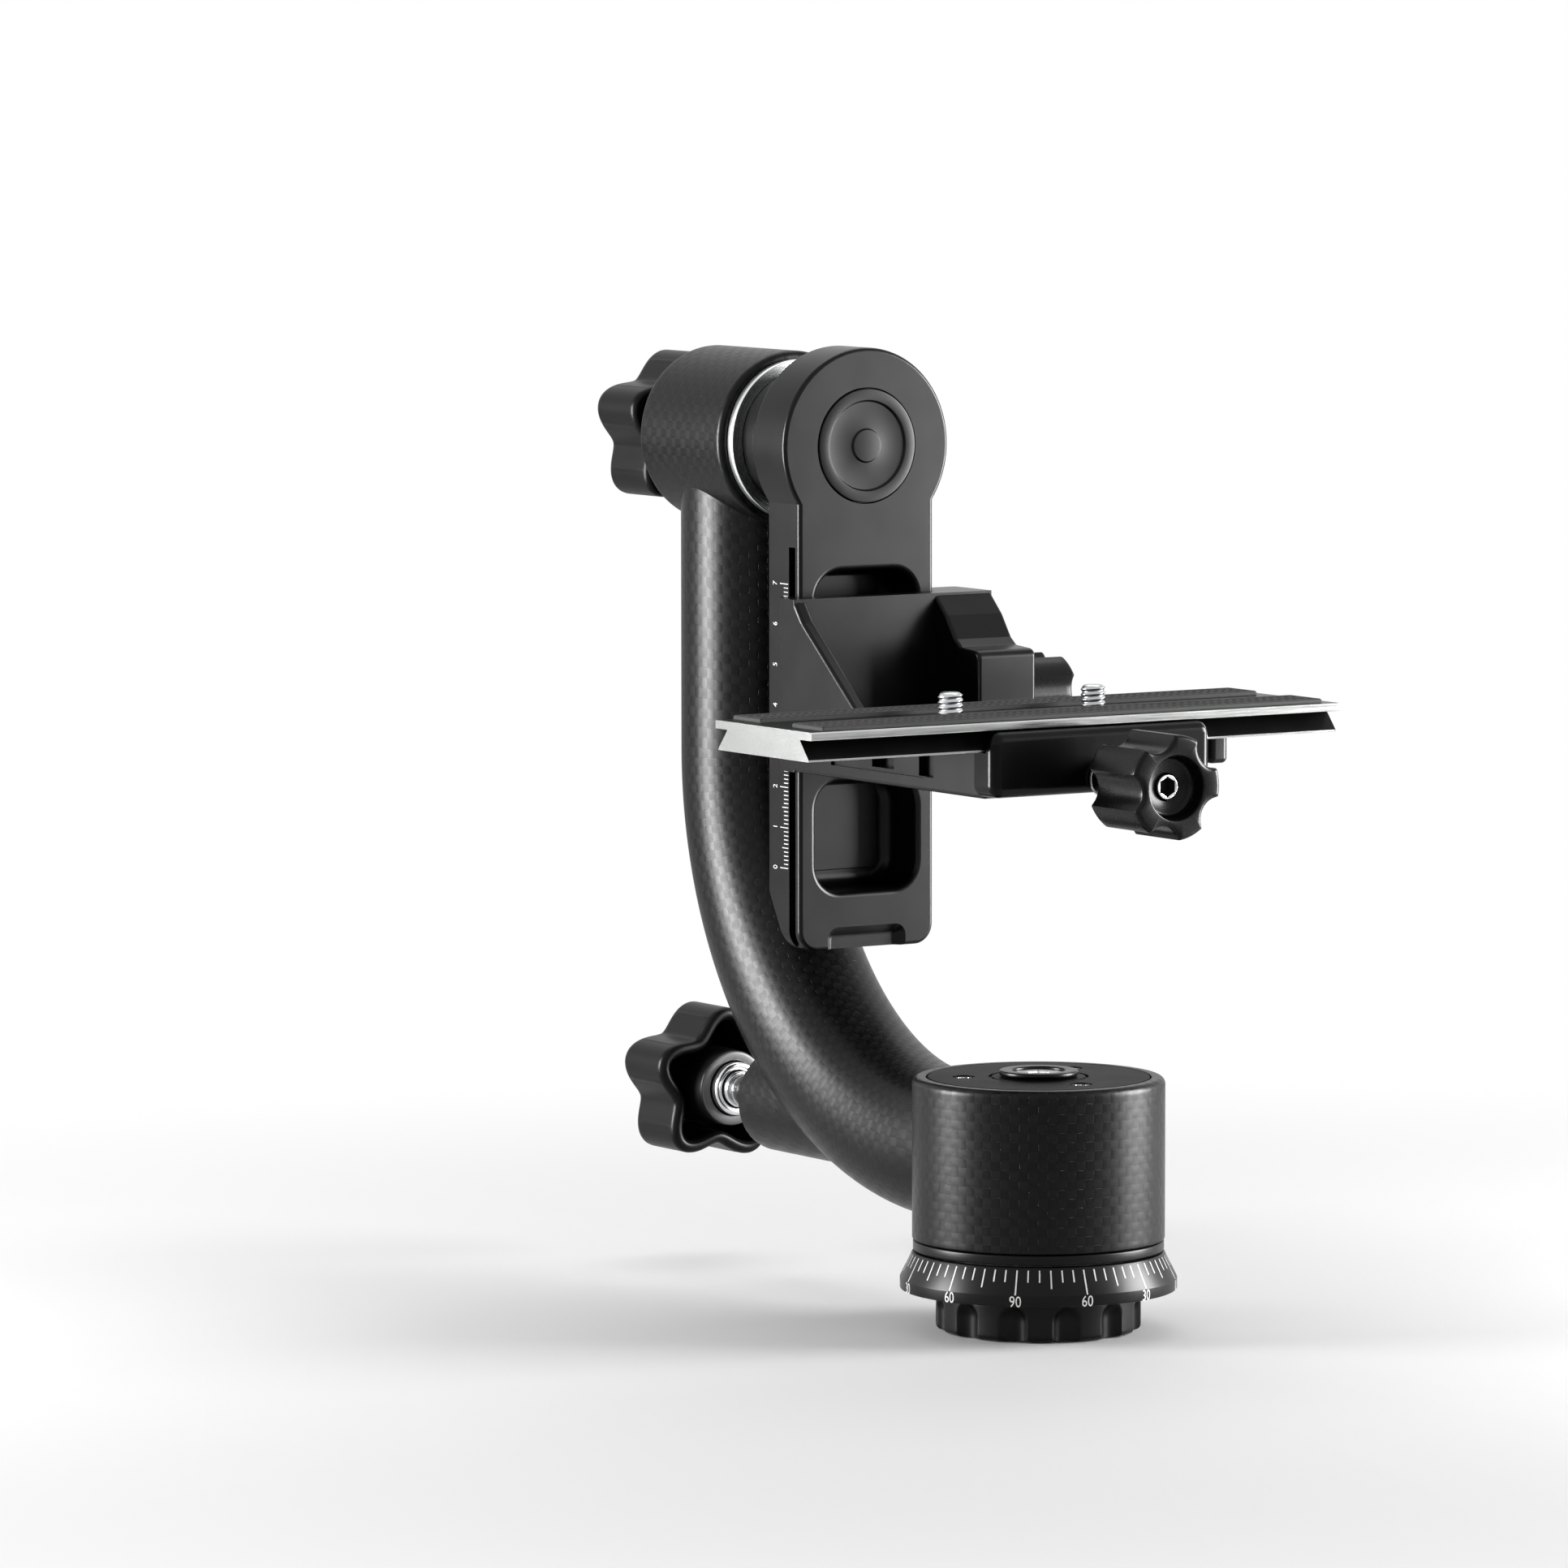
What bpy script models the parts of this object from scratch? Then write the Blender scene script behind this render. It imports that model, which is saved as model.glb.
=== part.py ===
"""Gimbal tripod head: base, panning J arm, tilting swing arm, height platform and plate clamp.

Metres, +Z up. The origin is the mouth of the tripod socket, on the pan axis.
The lens points along -Y and the J arm stands on the -X side.
"""

import math

import bmesh
import bpy
from mathutils import Vector

MM = 0.001

# Clearances
GAP = 0.3 * MM              # between neighbours that touch on the real head
OVERCUT = 1.0 * MM          # how far a cutter runs past the face it opens

# Base collar and tripod socket
COLLAR_RADIUS = 24.65 * MM
COLLAR_HEIGHT = 9.5 * MM
COLLAR_CHAMFER = 1.2 * MM
FLUTE_COUNT = 12
FLUTE_RADIUS = 3.9 * MM
FLUTE_DEPTH = 2.1 * MM
FLUTE_PHASE_DEG = 11.9
SOCKET_THREAD_RADIUS = 4.4 * MM
SOCKET_BUSH_WALL = 2.8 * MM
BASE_SCREW_COUNT = 3
BASE_SCREW_CIRCLE = 15.5 * MM
BASE_SCREW_RADIUS = 2.6 * MM
BASE_SCREW_LENGTH = 7.0 * MM

# Graduated ring
DIAL_RADIUS = 33.3 * MM
DIAL_BAND_HEIGHT = 2.7 * MM
DIAL_BEVEL_HEIGHT = 6.3 * MM
DIAL_TOP_RADIUS = 30.2 * MM
THRUST_WASHER_THICKNESS = 0.6 * MM
THRUST_WASHER_WIDTH = 14.0 * MM

# Pan spindle and its bearings
SPINDLE_RADIUS = 10.0 * MM
SPINDLE_FLANGE_WIDTH = 2.7 * MM
BEARING_WALL = 4.7 * MM
BEARING_HEIGHT = 5.4 * MM
SPINDLE_NUT_HEIGHT = 3.0 * MM

# Pan drum
DRUM_RADIUS = 30.36 * MM
DRUM_WALL = 4.8 * MM
DRUM_EDGE_RADIUS = 2.0 * MM
DRUM_FLANGE_HEIGHT = 2.4 * MM
DRUM_FLANGE_INSET = 0.2 * MM
CAP_THICKNESS = 3.0 * MM
CAP_LEDGE = 1.5 * MM
CAP_HUB_RADIUS = 9.5 * MM
CAP_HUB_HEIGHT = 1.3 * MM
CAP_HUB_WIDTH = 3.2 * MM
CAP_SCREW_CIRCLE = 18.0 * MM
CAP_SCREW_RADIUS = 2.4 * MM
CAP_SCREW_COUNT = 3
CAP_SCREW_DEPTH = 1.8 * MM

# J arm tube
TUBE_RADIUS = 18.2 * MM
TUBE_WALL = 3.2 * MM
TUBE_BEND_RADIUS = 90.3 * MM
TUBE_SHOULDER = 2.6 * MM            # drum left above and below the level run
TUBE_OFFSET = 127.3 * MM            # pan axis to the upright run
TUBE_SIDES = 24
TUBE_BEND_STEPS = 12

# Pan lock: boss on the tube, long screw and brake pad
PAN_LOCK_RISE = 3.3 * MM            # screw above the centre of the level run
PAN_BOSS_RADIUS = 13.2 * MM
PAN_BOSS_EXPOSED = 12.87 * MM       # out of the tube, on the screw's axis
PAN_BOSS_CHAMFER = 0.8 * MM
PAN_STUD_EXPOSED = 22.2 * MM
LOCK_SCREW_RADIUS = 4.5 * MM
BRAKE_PAD_THICKNESS = 3.0 * MM
BRAKE_PAD_RADIUS = 4.6 * MM

# Large lobed lock knobs, each hollow towards the arm
KNOB_LOBES = 5
KNOB_POINTS_PER_LOBE = 8
KNOB_RADIUS = 19.9 * MM
KNOB_LOBE_DEPTH = 5.3 * MM
KNOB_LENGTH = 19.2 * MM
KNOB_WALL = 3.0 * MM
KNOB_FLOOR = 4.0 * MM
KNOB_HUB_RADIUS = 9.5 * MM
KNOB_HUB_REACH = 4.7 * MM           # hub stands this far out of the rim
KNOB_EDGE = 1.6 * MM
KNOB_PHASE_DEG = 4.6
LOBE_FLATNESS = 0.85               # under 1 makes the lobes broader than the hollows
INSERT_RADIUS = 6.7 * MM
INSERT_REACH = 2.3 * MM

# Tilt barrel
TILT_HEIGHT = 208.5 * MM
BARREL_RADIUS = 22.0 * MM
BARREL_LENGTH = 38.0 * MM
BARREL_WALL = 3.4 * MM
BARREL_EDGE = 1.5 * MM
BARREL_CAP_THICKNESS = 4.0 * MM
TILT_STUD_EXPOSED = INSERT_REACH + 2 * GAP
AXLE_RADIUS = 7.7 * MM
TILT_BEARING_WALL = 4.0 * MM
TILT_BEARING_WIDTH = 8.0 * MM
AXLE_HEAD_RADIUS = 11.0 * MM
AXLE_HEAD_THICKNESS = 2.5 * MM

# Swing arm casting
ARM_FACE_OFFSET = 75.5 * MM         # pan axis to the face of the rail
ARM_THICKNESS = 14.5 * MM
ARM_HALF_WIDTH = 19.6 * MM
ARM_CLEARANCE = 26.5 * MM           # lower end above the level tube
ARM_CORNER_RADIUS = 5.0 * MM
ARM_HUB_RADIUS = 24.0 * MM
ARM_TAPER_HEIGHT = 15.0 * MM
ARM_TAPER_DEPTH = 8.5 * MM
RAIL_THICKNESS = 1.9 * MM
RAIL_GROOVE_WIDTH = 2.9 * MM
RAIL_GROOVE_DEPTH = 2.4 * MM
RAIL_END_DROP = 24.5 * MM           # tilt axis to the upper end of the rail's grooves
ARM_BACK_WALL = 2.5 * MM
POCKET_HALF_WIDTH = 14.7 * MM
POCKET_CORNER_RADIUS = 7.0 * MM
POCKET_MARGIN = 14.1 * MM
POCKET_RIB = 6.0 * MM
LOWER_POCKET_SHARE = 0.3757          # of the height left for both pockets
ARM_NOTCH_HALF_WIDTH = 10.5 * MM
ARM_NOTCH_HEIGHT = 4.6 * MM
ARM_NOTCH_DEPTH = 2.5 * MM
HUB_BOSS_RADIUS = 17.0 * MM
HUB_WASHER_RADIUS = 20.0 * MM
HUB_WASHER_THICKNESS = 2.4 * MM
HUB_COVER_RADIUS = 14.0 * MM
HUB_COVER_THICKNESS = 2.2 * MM

# Platform bracket
BRACKET_DROP = 78.7 * MM            # tilt axis to the underside of the bracket
BRACKET_HEIGHT = 42.2 * MM
SHELF_THICKNESS = 11.65 * MM
BRACKET_HALF_WIDTH = 25.0 * MM
BRACKET_WALL = 5.7 * MM
BRACKET_LIP_CHAMFER = 2.7 * MM
BRACKET_EDGE = 1.6 * MM
HOOK_CLEARANCE = 0.3 * MM
GUSSET_THICKNESS = 3.5 * MM
GUSSET_TOP_HEIGHT = 36.9 * MM
GUSSET_TOP_REACH = 3.6 * MM
GUSSET_RUN = 35.0 * MM
CHEEK_INNER = 16.0 * MM
CHEEK_OUTER = 33.0 * MM
CHEEK_BACK = 86.0 * MM
CHEEK_FRONT = 50.0 * MM
CHEEK_SHOULDER = 29.0 * MM
SIDE_PANEL_DEPTH = 0.8 * MM
SIDE_PANEL_START = 53.0 * MM
SIDE_PANEL_BORDER = 3.1 * MM
SIDE_NOTCH_START = 36.0 * MM
SIDE_NOTCH_WIDTH = 9.6 * MM
SIDE_NOTCH_HEIGHT = 2.6 * MM
SIDE_NOTCH_DEPTH = 4.0 * MM
SIDE_SLOT_START = 15.5 * MM
SIDE_SLOT_WIDTH = 7.5 * MM
SIDE_SLOT_DEPTH = 3.0 * MM
SHELF_END = 14.9 * MM

# Quick release plate
PLATE_CENTRE = 0.8 * MM
PLATE_FRONT = 78.6 * MM
PLATE_REAR = 72.5 * MM
PLATE_HALF_WIDTH = 21.0 * MM
PLATE_FLANGE = 2.0 * MM
PLATE_NECK_HALF_WIDTH = 16.0 * MM
PLATE_FOOT_HALF_WIDTH = 19.7 * MM
PLATE_NECK_DROP = 0.3 * MM
PLATE_DOVETAIL_HEIGHT = 4.3 * MM
PLATE_FOOT_HEIGHT = 0.45 * MM
RUBBER_THICKNESS = 1.1 * MM
RUBBER_WIDTH = 13.0 * MM
RUBBER_MARGIN = 4.0 * MM
RUBBER_EDGE_MARGIN = 1.6 * MM
SLOT_HALF_WIDTH = 3.4 * MM
SLOT_FRONT = 62.0 * MM
SLOT_REAR = 40.0 * MM
CHANNEL_HALF_WIDTH = 6.0 * MM
CHANNEL_DEPTH = 3.8 * MM
CAMERA_SCREW_RADIUS = 3.0 * MM
CAMERA_SCREW_HEAD = 5.5 * MM
CAMERA_SCREW_REACH = 4.5 * MM
CAMERA_SCREW_FRONT = 26.0 * MM
CAMERA_SCREW_REAR = 15.0 * MM
STOP_FRONT = 45.9 * MM
STOP_LENGTH = 5.6 * MM
STOP_HALF_WIDTH = 5.0 * MM
STOP_HEIGHT = 7.4 * MM
STOP_EDGE = 1.2 * MM
STOP_SHANK = 1.8 * MM

# Clamp jaw, its knob and guide pins
CLAMP_CENTRE = 2.1 * MM              # clamp screw, towards the rear
JAW_HALF_LENGTH = 31.35 * MM
JAW_OUTER = 24.0 * MM
JAW_LIFT = 1.0 * MM                 # above the underside of the bracket
JAW_EDGE = 2.4 * MM
JAW_LIP_OVERLAP = 3.0 * MM
FIXED_JAW_THICKNESS = 4.0 * MM
FIXED_JAW_HALF_LENGTH = 21.0 * MM
GUIDE_PIN_RADIUS = 2.0 * MM
GUIDE_PIN_SPREAD = 17.0 * MM
GUIDE_PIN_DEPTH = 14.0 * MM         # into the shelf
GUIDE_PIN_COVER = 2.0 * MM          # jaw wall left over the pin's end
CLAMP_SCREW_RISE = 4.5 * MM         # above the underside of the bracket
SMALL_STUD_RADIUS = 2.9 * MM
SMALL_STUD_SOCKET = 1.7 * MM
SMALL_STUD_SOCKET_DEPTH = 3.0 * MM
SMALL_KNOB_RADIUS = 12.5 * MM
SMALL_KNOB_VALLEY_RADIUS = 9.5 * MM
SMALL_KNOB_SCALLOP_RADIUS = 5.1 * MM
SMALL_KNOB_LENGTH = 19.9 * MM
SMALL_KNOB_DISH_RADIUS = 7.65 * MM
SMALL_KNOB_DISH_DEPTH = 4.4 * MM
SMALL_KNOB_PHASE_DEG = 21.4
SMALL_KNOB_EDGE = 1.5 * MM
CLAMP_NECK_LENGTH = 9.0 * MM
CLAMP_NECK_RADIUS = 4.6 * MM
WASHER_RADIUS = 4.4 * MM
WASHER_THICKNESS = 1.0 * MM
CLAMP_SCREW_DEPTH = 20.0 * MM       # into the shelf

# Height lock
HEIGHT_LOCK_RISE = 13.3 * MM        # above the underside of the bracket
HEIGHT_NECK_LENGTH = 2.7 * MM
GIB_LENGTH = 3.1 * MM

ROUND_STEPS = 36
SMALL_ROUND_STEPS = 16
TINY_ROUND_STEPS = 12
SHARP_ANGLE = math.radians(35)

# Heights that stack up from the sizes above
DIAL_BOTTOM = COLLAR_HEIGHT + GAP
DIAL_TOP = DIAL_BOTTOM + DIAL_BAND_HEIGHT + DIAL_BEVEL_HEIGHT
THRUST_FLOOR = DIAL_TOP + GAP / 3 - THRUST_WASHER_THICKNESS - GAP
DRUM_FLANGE_BOTTOM = DIAL_TOP + GAP + GAP / 3
DRUM_BOTTOM = DRUM_FLANGE_BOTTOM + DRUM_FLANGE_HEIGHT + GAP
TUBE_CENTRE_HEIGHT = DRUM_FLANGE_BOTTOM + TUBE_SHOULDER + TUBE_RADIUS
DRUM_TOP = TUBE_CENTRE_HEIGHT + TUBE_RADIUS + TUBE_SHOULDER
PAN_LOCK_HEIGHT = TUBE_CENTRE_HEIGHT + PAN_LOCK_RISE
DRUM_BORE = DRUM_RADIUS - DRUM_WALL
CAP_BOTTOM = DRUM_TOP - CAP_THICKNESS
CAP_RADIUS = DRUM_BORE + CAP_LEDGE - GAP
CORE_BOTTOM = DRUM_BOTTOM
CORE_TOP = CAP_BOTTOM - 2 * GAP
CORE_BORE = SPINDLE_RADIUS + BEARING_WALL + 2 * GAP
LOWER_BEARING_BOTTOM = CORE_BOTTOM
SPINDLE_NUT_TOP = CORE_TOP - GAP
SPINDLE_NUT_BOTTOM = SPINDLE_NUT_TOP - SPINDLE_NUT_HEIGHT
LOWER_BEARING_TOP = LOWER_BEARING_BOTTOM + BEARING_HEIGHT
UPPER_BEARING_TOP = SPINDLE_NUT_BOTTOM - GAP
UPPER_BEARING_BOTTOM = PAN_LOCK_HEIGHT + BRAKE_PAD_RADIUS + GAP

TUBE_BEND_X = -TUBE_OFFSET + TUBE_BEND_RADIUS
TUBE_BEND_Z = TUBE_CENTRE_HEIGHT + TUBE_BEND_RADIUS
TUBE_OUTSIDE_X = TUBE_BEND_X - math.sqrt((TUBE_BEND_RADIUS + TUBE_RADIUS) ** 2
                                         - (TUBE_BEND_Z - PAN_LOCK_HEIGHT) ** 2)
PAN_BOSS_ROOT = (TUBE_BEND_X + TUBE_OUTSIDE_X) / 2
PAN_BOSS_END = TUBE_OUTSIDE_X - PAN_BOSS_EXPOSED

BARREL_INNER_END = -TUBE_OFFSET + BARREL_LENGTH / 2
BARREL_OUTER_END = -TUBE_OFFSET - BARREL_LENGTH / 2
HUB_WASHER_START = BARREL_INNER_END + GAP
HUB_WASHER_END = HUB_WASHER_START + HUB_WASHER_THICKNESS
ARM_BACK = -ARM_FACE_OFFSET - ARM_THICKNESS
RAIL_BACK = -ARM_FACE_OFFSET - RAIL_THICKNESS
GROOVE_BACK = RAIL_BACK - RAIL_GROOVE_WIDTH
NECK_HALF_WIDTH = ARM_HALF_WIDTH - RAIL_GROOVE_DEPTH

ARM_BOTTOM = TUBE_CENTRE_HEIGHT + TUBE_RADIUS + ARM_CLEARANCE
RAIL_TOP = TILT_HEIGHT - RAIL_END_DROP
POCKET_BOTTOM = ARM_BOTTOM + POCKET_MARGIN
POCKET_TOP = RAIL_TOP - POCKET_RIB
POCKET_SPLIT = POCKET_BOTTOM + LOWER_POCKET_SHARE * (POCKET_TOP - POCKET_RIB - POCKET_BOTTOM)
BRACKET_BOTTOM = TILT_HEIGHT - BRACKET_DROP
BRACKET_TOP = BRACKET_BOTTOM + BRACKET_HEIGHT
BRACKET_BACK = -ARM_FACE_OFFSET + GAP
BRACKET_FACE = BRACKET_BACK + BRACKET_WALL
HOOK_BACK = GROOVE_BACK + HOOK_CLEARANCE
HOOK_FRONT = RAIL_BACK - HOOK_CLEARANCE
HOOK_TIP = NECK_HALF_WIDTH + HOOK_CLEARANCE
HOOK_ROOT = ARM_HALF_WIDTH + HOOK_CLEARANCE

SHELF_TOP = BRACKET_BOTTOM + SHELF_THICKNESS
PLATE_BOTTOM = SHELF_TOP + GAP
PLATE_TOP = PLATE_BOTTOM + PLATE_FOOT_HEIGHT + PLATE_DOVETAIL_HEIGHT + PLATE_NECK_DROP + PLATE_FLANGE
JAW_TOP = PLATE_TOP - PLATE_FLANGE - GAP
JAW_BOTTOM = BRACKET_BOTTOM + JAW_LIFT
CLAMP_SCREW_HEIGHT = BRACKET_BOTTOM + CLAMP_SCREW_RISE
JAW_GROOVE = PLATE_CENTRE + PLATE_FOOT_HALF_WIDTH + GAP
JAW_INNER = SHELF_END + 2 * GAP
CLAMP_NECK_START = JAW_OUTER + WASHER_THICKNESS + 2 * GAP
CLAMP_KNOB_BACK = CLAMP_NECK_START + CLAMP_NECK_LENGTH
CLAMP_KNOB_FACE = CLAMP_KNOB_BACK + SMALL_KNOB_LENGTH
HEIGHT_LOCK_X = -ARM_FACE_OFFSET - RAIL_THICKNESS / 2
HEIGHT_LOCK_Z = BRACKET_BOTTOM + HEIGHT_LOCK_RISE
HEIGHT_KNOB_BACK = CHEEK_OUTER + GAP + HEIGHT_NECK_LENGTH
GIB_START = HOOK_ROOT
GIB_END = GIB_START + GIB_LENGTH

PAN_KNOB_HUB = PAN_BOSS_END - PAN_STUD_EXPOSED
TILT_KNOB_HUB = BARREL_OUTER_END - TILT_STUD_EXPOSED

materials = {}


def material(name, colour, roughness, metallic):
    """Principled material with a plain colour."""
    if name not in materials:
        made = bpy.data.materials.new(name)
        made.use_nodes = True
        shader = made.node_tree.nodes["Principled BSDF"]
        shader.inputs["Base Color"].default_value = (*colour, 1.0)
        shader.inputs["Roughness"].default_value = roughness
        shader.inputs["Metallic"].default_value = metallic
        materials[name] = made
    return materials[name]


CARBON = ("carbon", (0.030, 0.031, 0.032), 0.45, 0.0)
GLOSS_BLACK = ("gloss_black", (0.012, 0.012, 0.013), 0.18, 0.0)
SATIN_BLACK = ("satin_black", (0.020, 0.020, 0.021), 0.35, 0.6)
KNOB_BLACK = ("knob_black", (0.022, 0.022, 0.022), 0.5, 0.0)
CHROME = ("chrome", (0.80, 0.80, 0.80), 0.08, 1.0)
STEEL = ("steel", (0.56, 0.57, 0.58), 0.3, 1.0)
BARE_ALUMINIUM = ("bare_aluminium", (0.82, 0.83, 0.84), 0.3, 1.0)
BRASS = ("brass", (0.72, 0.55, 0.25), 0.35, 1.0)
NYLON = ("nylon", (0.75, 0.75, 0.72), 0.5, 0.0)
RUBBER = ("rubber", (0.018, 0.018, 0.018), 0.8, 0.0)


def finish(bm, name, finish_of, parent=None, place=(0, 0, 0), turn=(0, 0, 0), smooth=True):
    """Turn a bmesh into a named object with its material, placed under its parent."""
    bmesh.ops.remove_doubles(bm, verts=bm.verts, dist=1e-6)
    bmesh.ops.recalc_face_normals(bm, faces=bm.faces)
    mesh = bpy.data.meshes.new(name)
    bm.to_mesh(mesh)
    bm.free()
    made = bpy.data.objects.new(name, mesh)
    bpy.context.collection.objects.link(made)
    if finish_of:
        mesh.materials.append(material(name, *finish_of[1:]))
    if smooth:
        mesh.shade_smooth()
        mesh.set_sharp_from_angle(angle=SHARP_ANGLE)
    origin = Vector((0, 0, 0))
    if parent:
        made.parent = parent
        origin = axis_points[parent.name]
    made.location = Vector(place) - origin
    made.rotation_euler = turn
    return made


axis_points = {}


def axis_empty(name, point, parent=None):
    """Empty on a joint axis, which carries the pieces that move with the joint."""
    made = bpy.data.objects.new(name, None)
    bpy.context.collection.objects.link(made)
    axis_points[name] = Vector(point)
    made.location = Vector(point)
    if parent:
        made.parent = parent
        made.location = Vector(point) - axis_points[parent.name]
    return made


ALONG_X = (0, math.radians(90), 0)       # local +Z to world +X
ALONG_MINUS_X = (0, math.radians(-90), 0)
ALONG_Y = (math.radians(-90), 0, 0)      # local +Z to world +Y


def turned(profile, steps=ROUND_STEPS):
    """Spin a closed (radius, height) profile round Z."""
    bm = bmesh.new()
    verts = [bm.verts.new((r, 0, z)) for r, z in profile]
    edges = [bm.edges.new((verts[i], verts[(i + 1) % len(verts)])) for i in range(len(verts))
             if not (verts[i].co.x < 1e-7 and verts[(i + 1) % len(verts)].co.x < 1e-7)]
    bmesh.ops.spin(bm, geom=verts + edges, cent=(0, 0, 0), axis=(0, 0, 1), dvec=(0, 0, 0),
                   angle=math.tau, steps=steps, use_duplicate=False)
    bmesh.ops.remove_doubles(bm, verts=bm.verts, dist=1e-6)
    bmesh.ops.recalc_face_normals(bm, faces=bm.faces)
    return bm


def disc(radius, low, high, steps=ROUND_STEPS, edge=0.0):
    """Solid round bar between two heights, with an optional chamfer at both ends."""
    profile = [(0, low), (radius - edge, low)]
    if edge:
        profile += [(radius, low + edge), (radius, high - edge)]
    else:
        profile[1] = (radius, low)
    profile += [(radius - edge, high), (0, high)]
    return turned(profile, steps)


def ring(inner, outer, low, high, steps=ROUND_STEPS, edge=0.0):
    """Round ring between two heights, with an optional chamfer on its outer edges."""
    if edge:
        profile = [(inner, low), (outer - edge, low), (outer, low + edge), (outer, high - edge),
                   (outer - edge, high), (inner, high)]
    else:
        profile = [(inner, low), (outer, low), (outer, high), (inner, high)]
    return turned(profile, steps)


def prism(outline, axis, low, high):
    """Extrude an outline along an axis. Its points are the two other coordinates, in X, Y, Z order."""
    bm = bmesh.new()
    across = [i for i in range(3) if i != axis]
    verts = []
    for a, b in outline:
        co = [0.0, 0.0, 0.0]
        co[across[0]], co[across[1]], co[axis] = a, b, low
        verts.append(bm.verts.new(co))
    face = bm.faces.new(verts)
    grown = bmesh.ops.extrude_face_region(bm, geom=[face])
    step = [0.0, 0.0, 0.0]
    step[axis] = high - low
    moved = [v for v in grown["geom"] if isinstance(v, bmesh.types.BMVert)]
    bmesh.ops.translate(bm, verts=moved, vec=step)
    bmesh.ops.recalc_face_normals(bm, faces=bm.faces)
    return bm


def block(low, high):
    """Box between two corners."""
    outline = [(low[0], low[1]), (high[0], low[1]), (high[0], high[1]), (low[0], high[1])]
    return prism(outline, 2, low[2], high[2])


def rounded(half_a, low_b, high_b, radius, steps=3, centre_a=0.0):
    """Outline of a rectangle with round corners, centred on its first coordinate."""
    points = []
    corners = ((half_a, low_b, 1, 1, 270), (half_a, high_b, 1, -1, 0),
               (-half_a, high_b, -1, -1, 90), (-half_a, low_b, -1, 1, 180))
    for a, b, side_a, side_b, start in corners:
        for i in range(steps + 1):
            angle = math.radians(start + 90 * i / steps)
            points.append((centre_a + a - side_a * radius + radius * math.cos(angle),
                           b + side_b * radius + radius * math.sin(angle)))
    return points


def soften(bm, amount, chosen, segments=2):
    """Bevel the edges that the test chooses by their midpoint and direction."""
    picked = []
    for edge in bm.edges:
        start, end = edge.verts[0].co, edge.verts[1].co
        if len(edge.link_faces) == 2 and chosen((start + end) / 2, (end - start).normalized()):
            picked.append(edge)
    bmesh.ops.bevel(bm, geom=picked, offset=amount, segments=segments, profile=0.5, affect="EDGES",
                    clamp_overlap=True)
    return bm


def cut(target, bm, operation="DIFFERENCE", place=(0, 0, 0), turn=(0, 0, 0)):
    """Cut the target with a tool shape, or join the tool shape to it."""
    tool = finish(bm, f"tool_{len(bpy.data.objects)}", None, None, place, turn, smooth=False)
    tool.hide_render = True
    tool.display_type = "WIRE"
    modifier = target.modifiers.new(f"{operation.lower()}_{len(target.modifiers)}", "BOOLEAN")
    modifier.operation = operation
    modifier.solver = "EXACT"
    modifier.object = tool
    return tool


def lobed(radius, depth, lobes, per_lobe, phase):
    """Outline of a knob: round lobes with wide hollows between them."""
    points = []
    count = lobes * per_lobe
    for i in range(count):
        angle = math.tau * i / count
        crest = 0.5 + 0.5 * math.cos(lobes * (angle - phase))
        reach = radius - depth * (1 - crest ** LOBE_FLATNESS)
        points.append((reach * math.cos(angle), reach * math.sin(angle)))
    return points


def scalloped(radius, valley, scallop, lobes, per_lobe, phase):
    """Round outline with a hollow of the scallop's radius cut between each two lobes."""
    points = []
    count = lobes * per_lobe
    centre = valley + scallop
    for i in range(count):
        angle = math.tau * i / count
        off = (angle - phase) % (math.tau / lobes) - math.pi / lobes
        room = scallop ** 2 - (centre * math.sin(off)) ** 2
        reach = radius if room <= 0 else min(radius, centre * math.cos(off) - math.sqrt(room))
        points.append((reach * math.cos(angle), reach * math.sin(angle)))
    return points


def circle(radius, count):
    return [(radius * math.cos(math.tau * i / count), radius * math.sin(math.tau * i / count))
            for i in range(count)]


def hexagon(flat, count):
    """Outline of a hexagon, flat being the distance from its centre to a side."""
    points = []
    for i in range(count):
        angle = math.tau * i / count
        reach = flat / math.cos((angle + math.pi / 6) % (math.pi / 3) - math.pi / 6)
        points.append((reach * math.cos(angle), reach * math.sin(angle)))
    return points


def inset(outline, amount):
    """Move each point of a round outline towards the centre."""
    moved = []
    for x, y in outline:
        reach = math.hypot(x, y)
        moved.append((x * (reach - amount) / reach, y * (reach - amount) / reach))
    return moved


def loft(sections):
    """Join outlines of equal point count, given with their heights, and close both ends."""
    bm = bmesh.new()
    rows = [[bm.verts.new((x, y, z)) for x, y in outline] for z, outline in sections]
    count = len(rows[0])
    for lower, upper in zip(rows, rows[1:]):
        for i in range(count):
            j = (i + 1) % count
            bm.faces.new((lower[i], lower[j], upper[j], upper[i]))
    bm.faces.new(rows[0])
    bm.faces.new(rows[-1])
    bmesh.ops.recalc_face_normals(bm, faces=bm.faces)
    return bm


def tube_path(extra_low, extra_high):
    """Centreline of the J arm in the XZ plane: level run, quarter bend, upright run."""
    points = [(extra_low, TUBE_CENTRE_HEIGHT)]
    for i in range(TUBE_BEND_STEPS + 1):
        angle = math.radians(90 * i / TUBE_BEND_STEPS)
        points.append((TUBE_BEND_X - TUBE_BEND_RADIUS * math.sin(angle),
                       TUBE_BEND_Z - TUBE_BEND_RADIUS * math.cos(angle)))
    points.append((-TUBE_OFFSET, extra_high))
    return points


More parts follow.
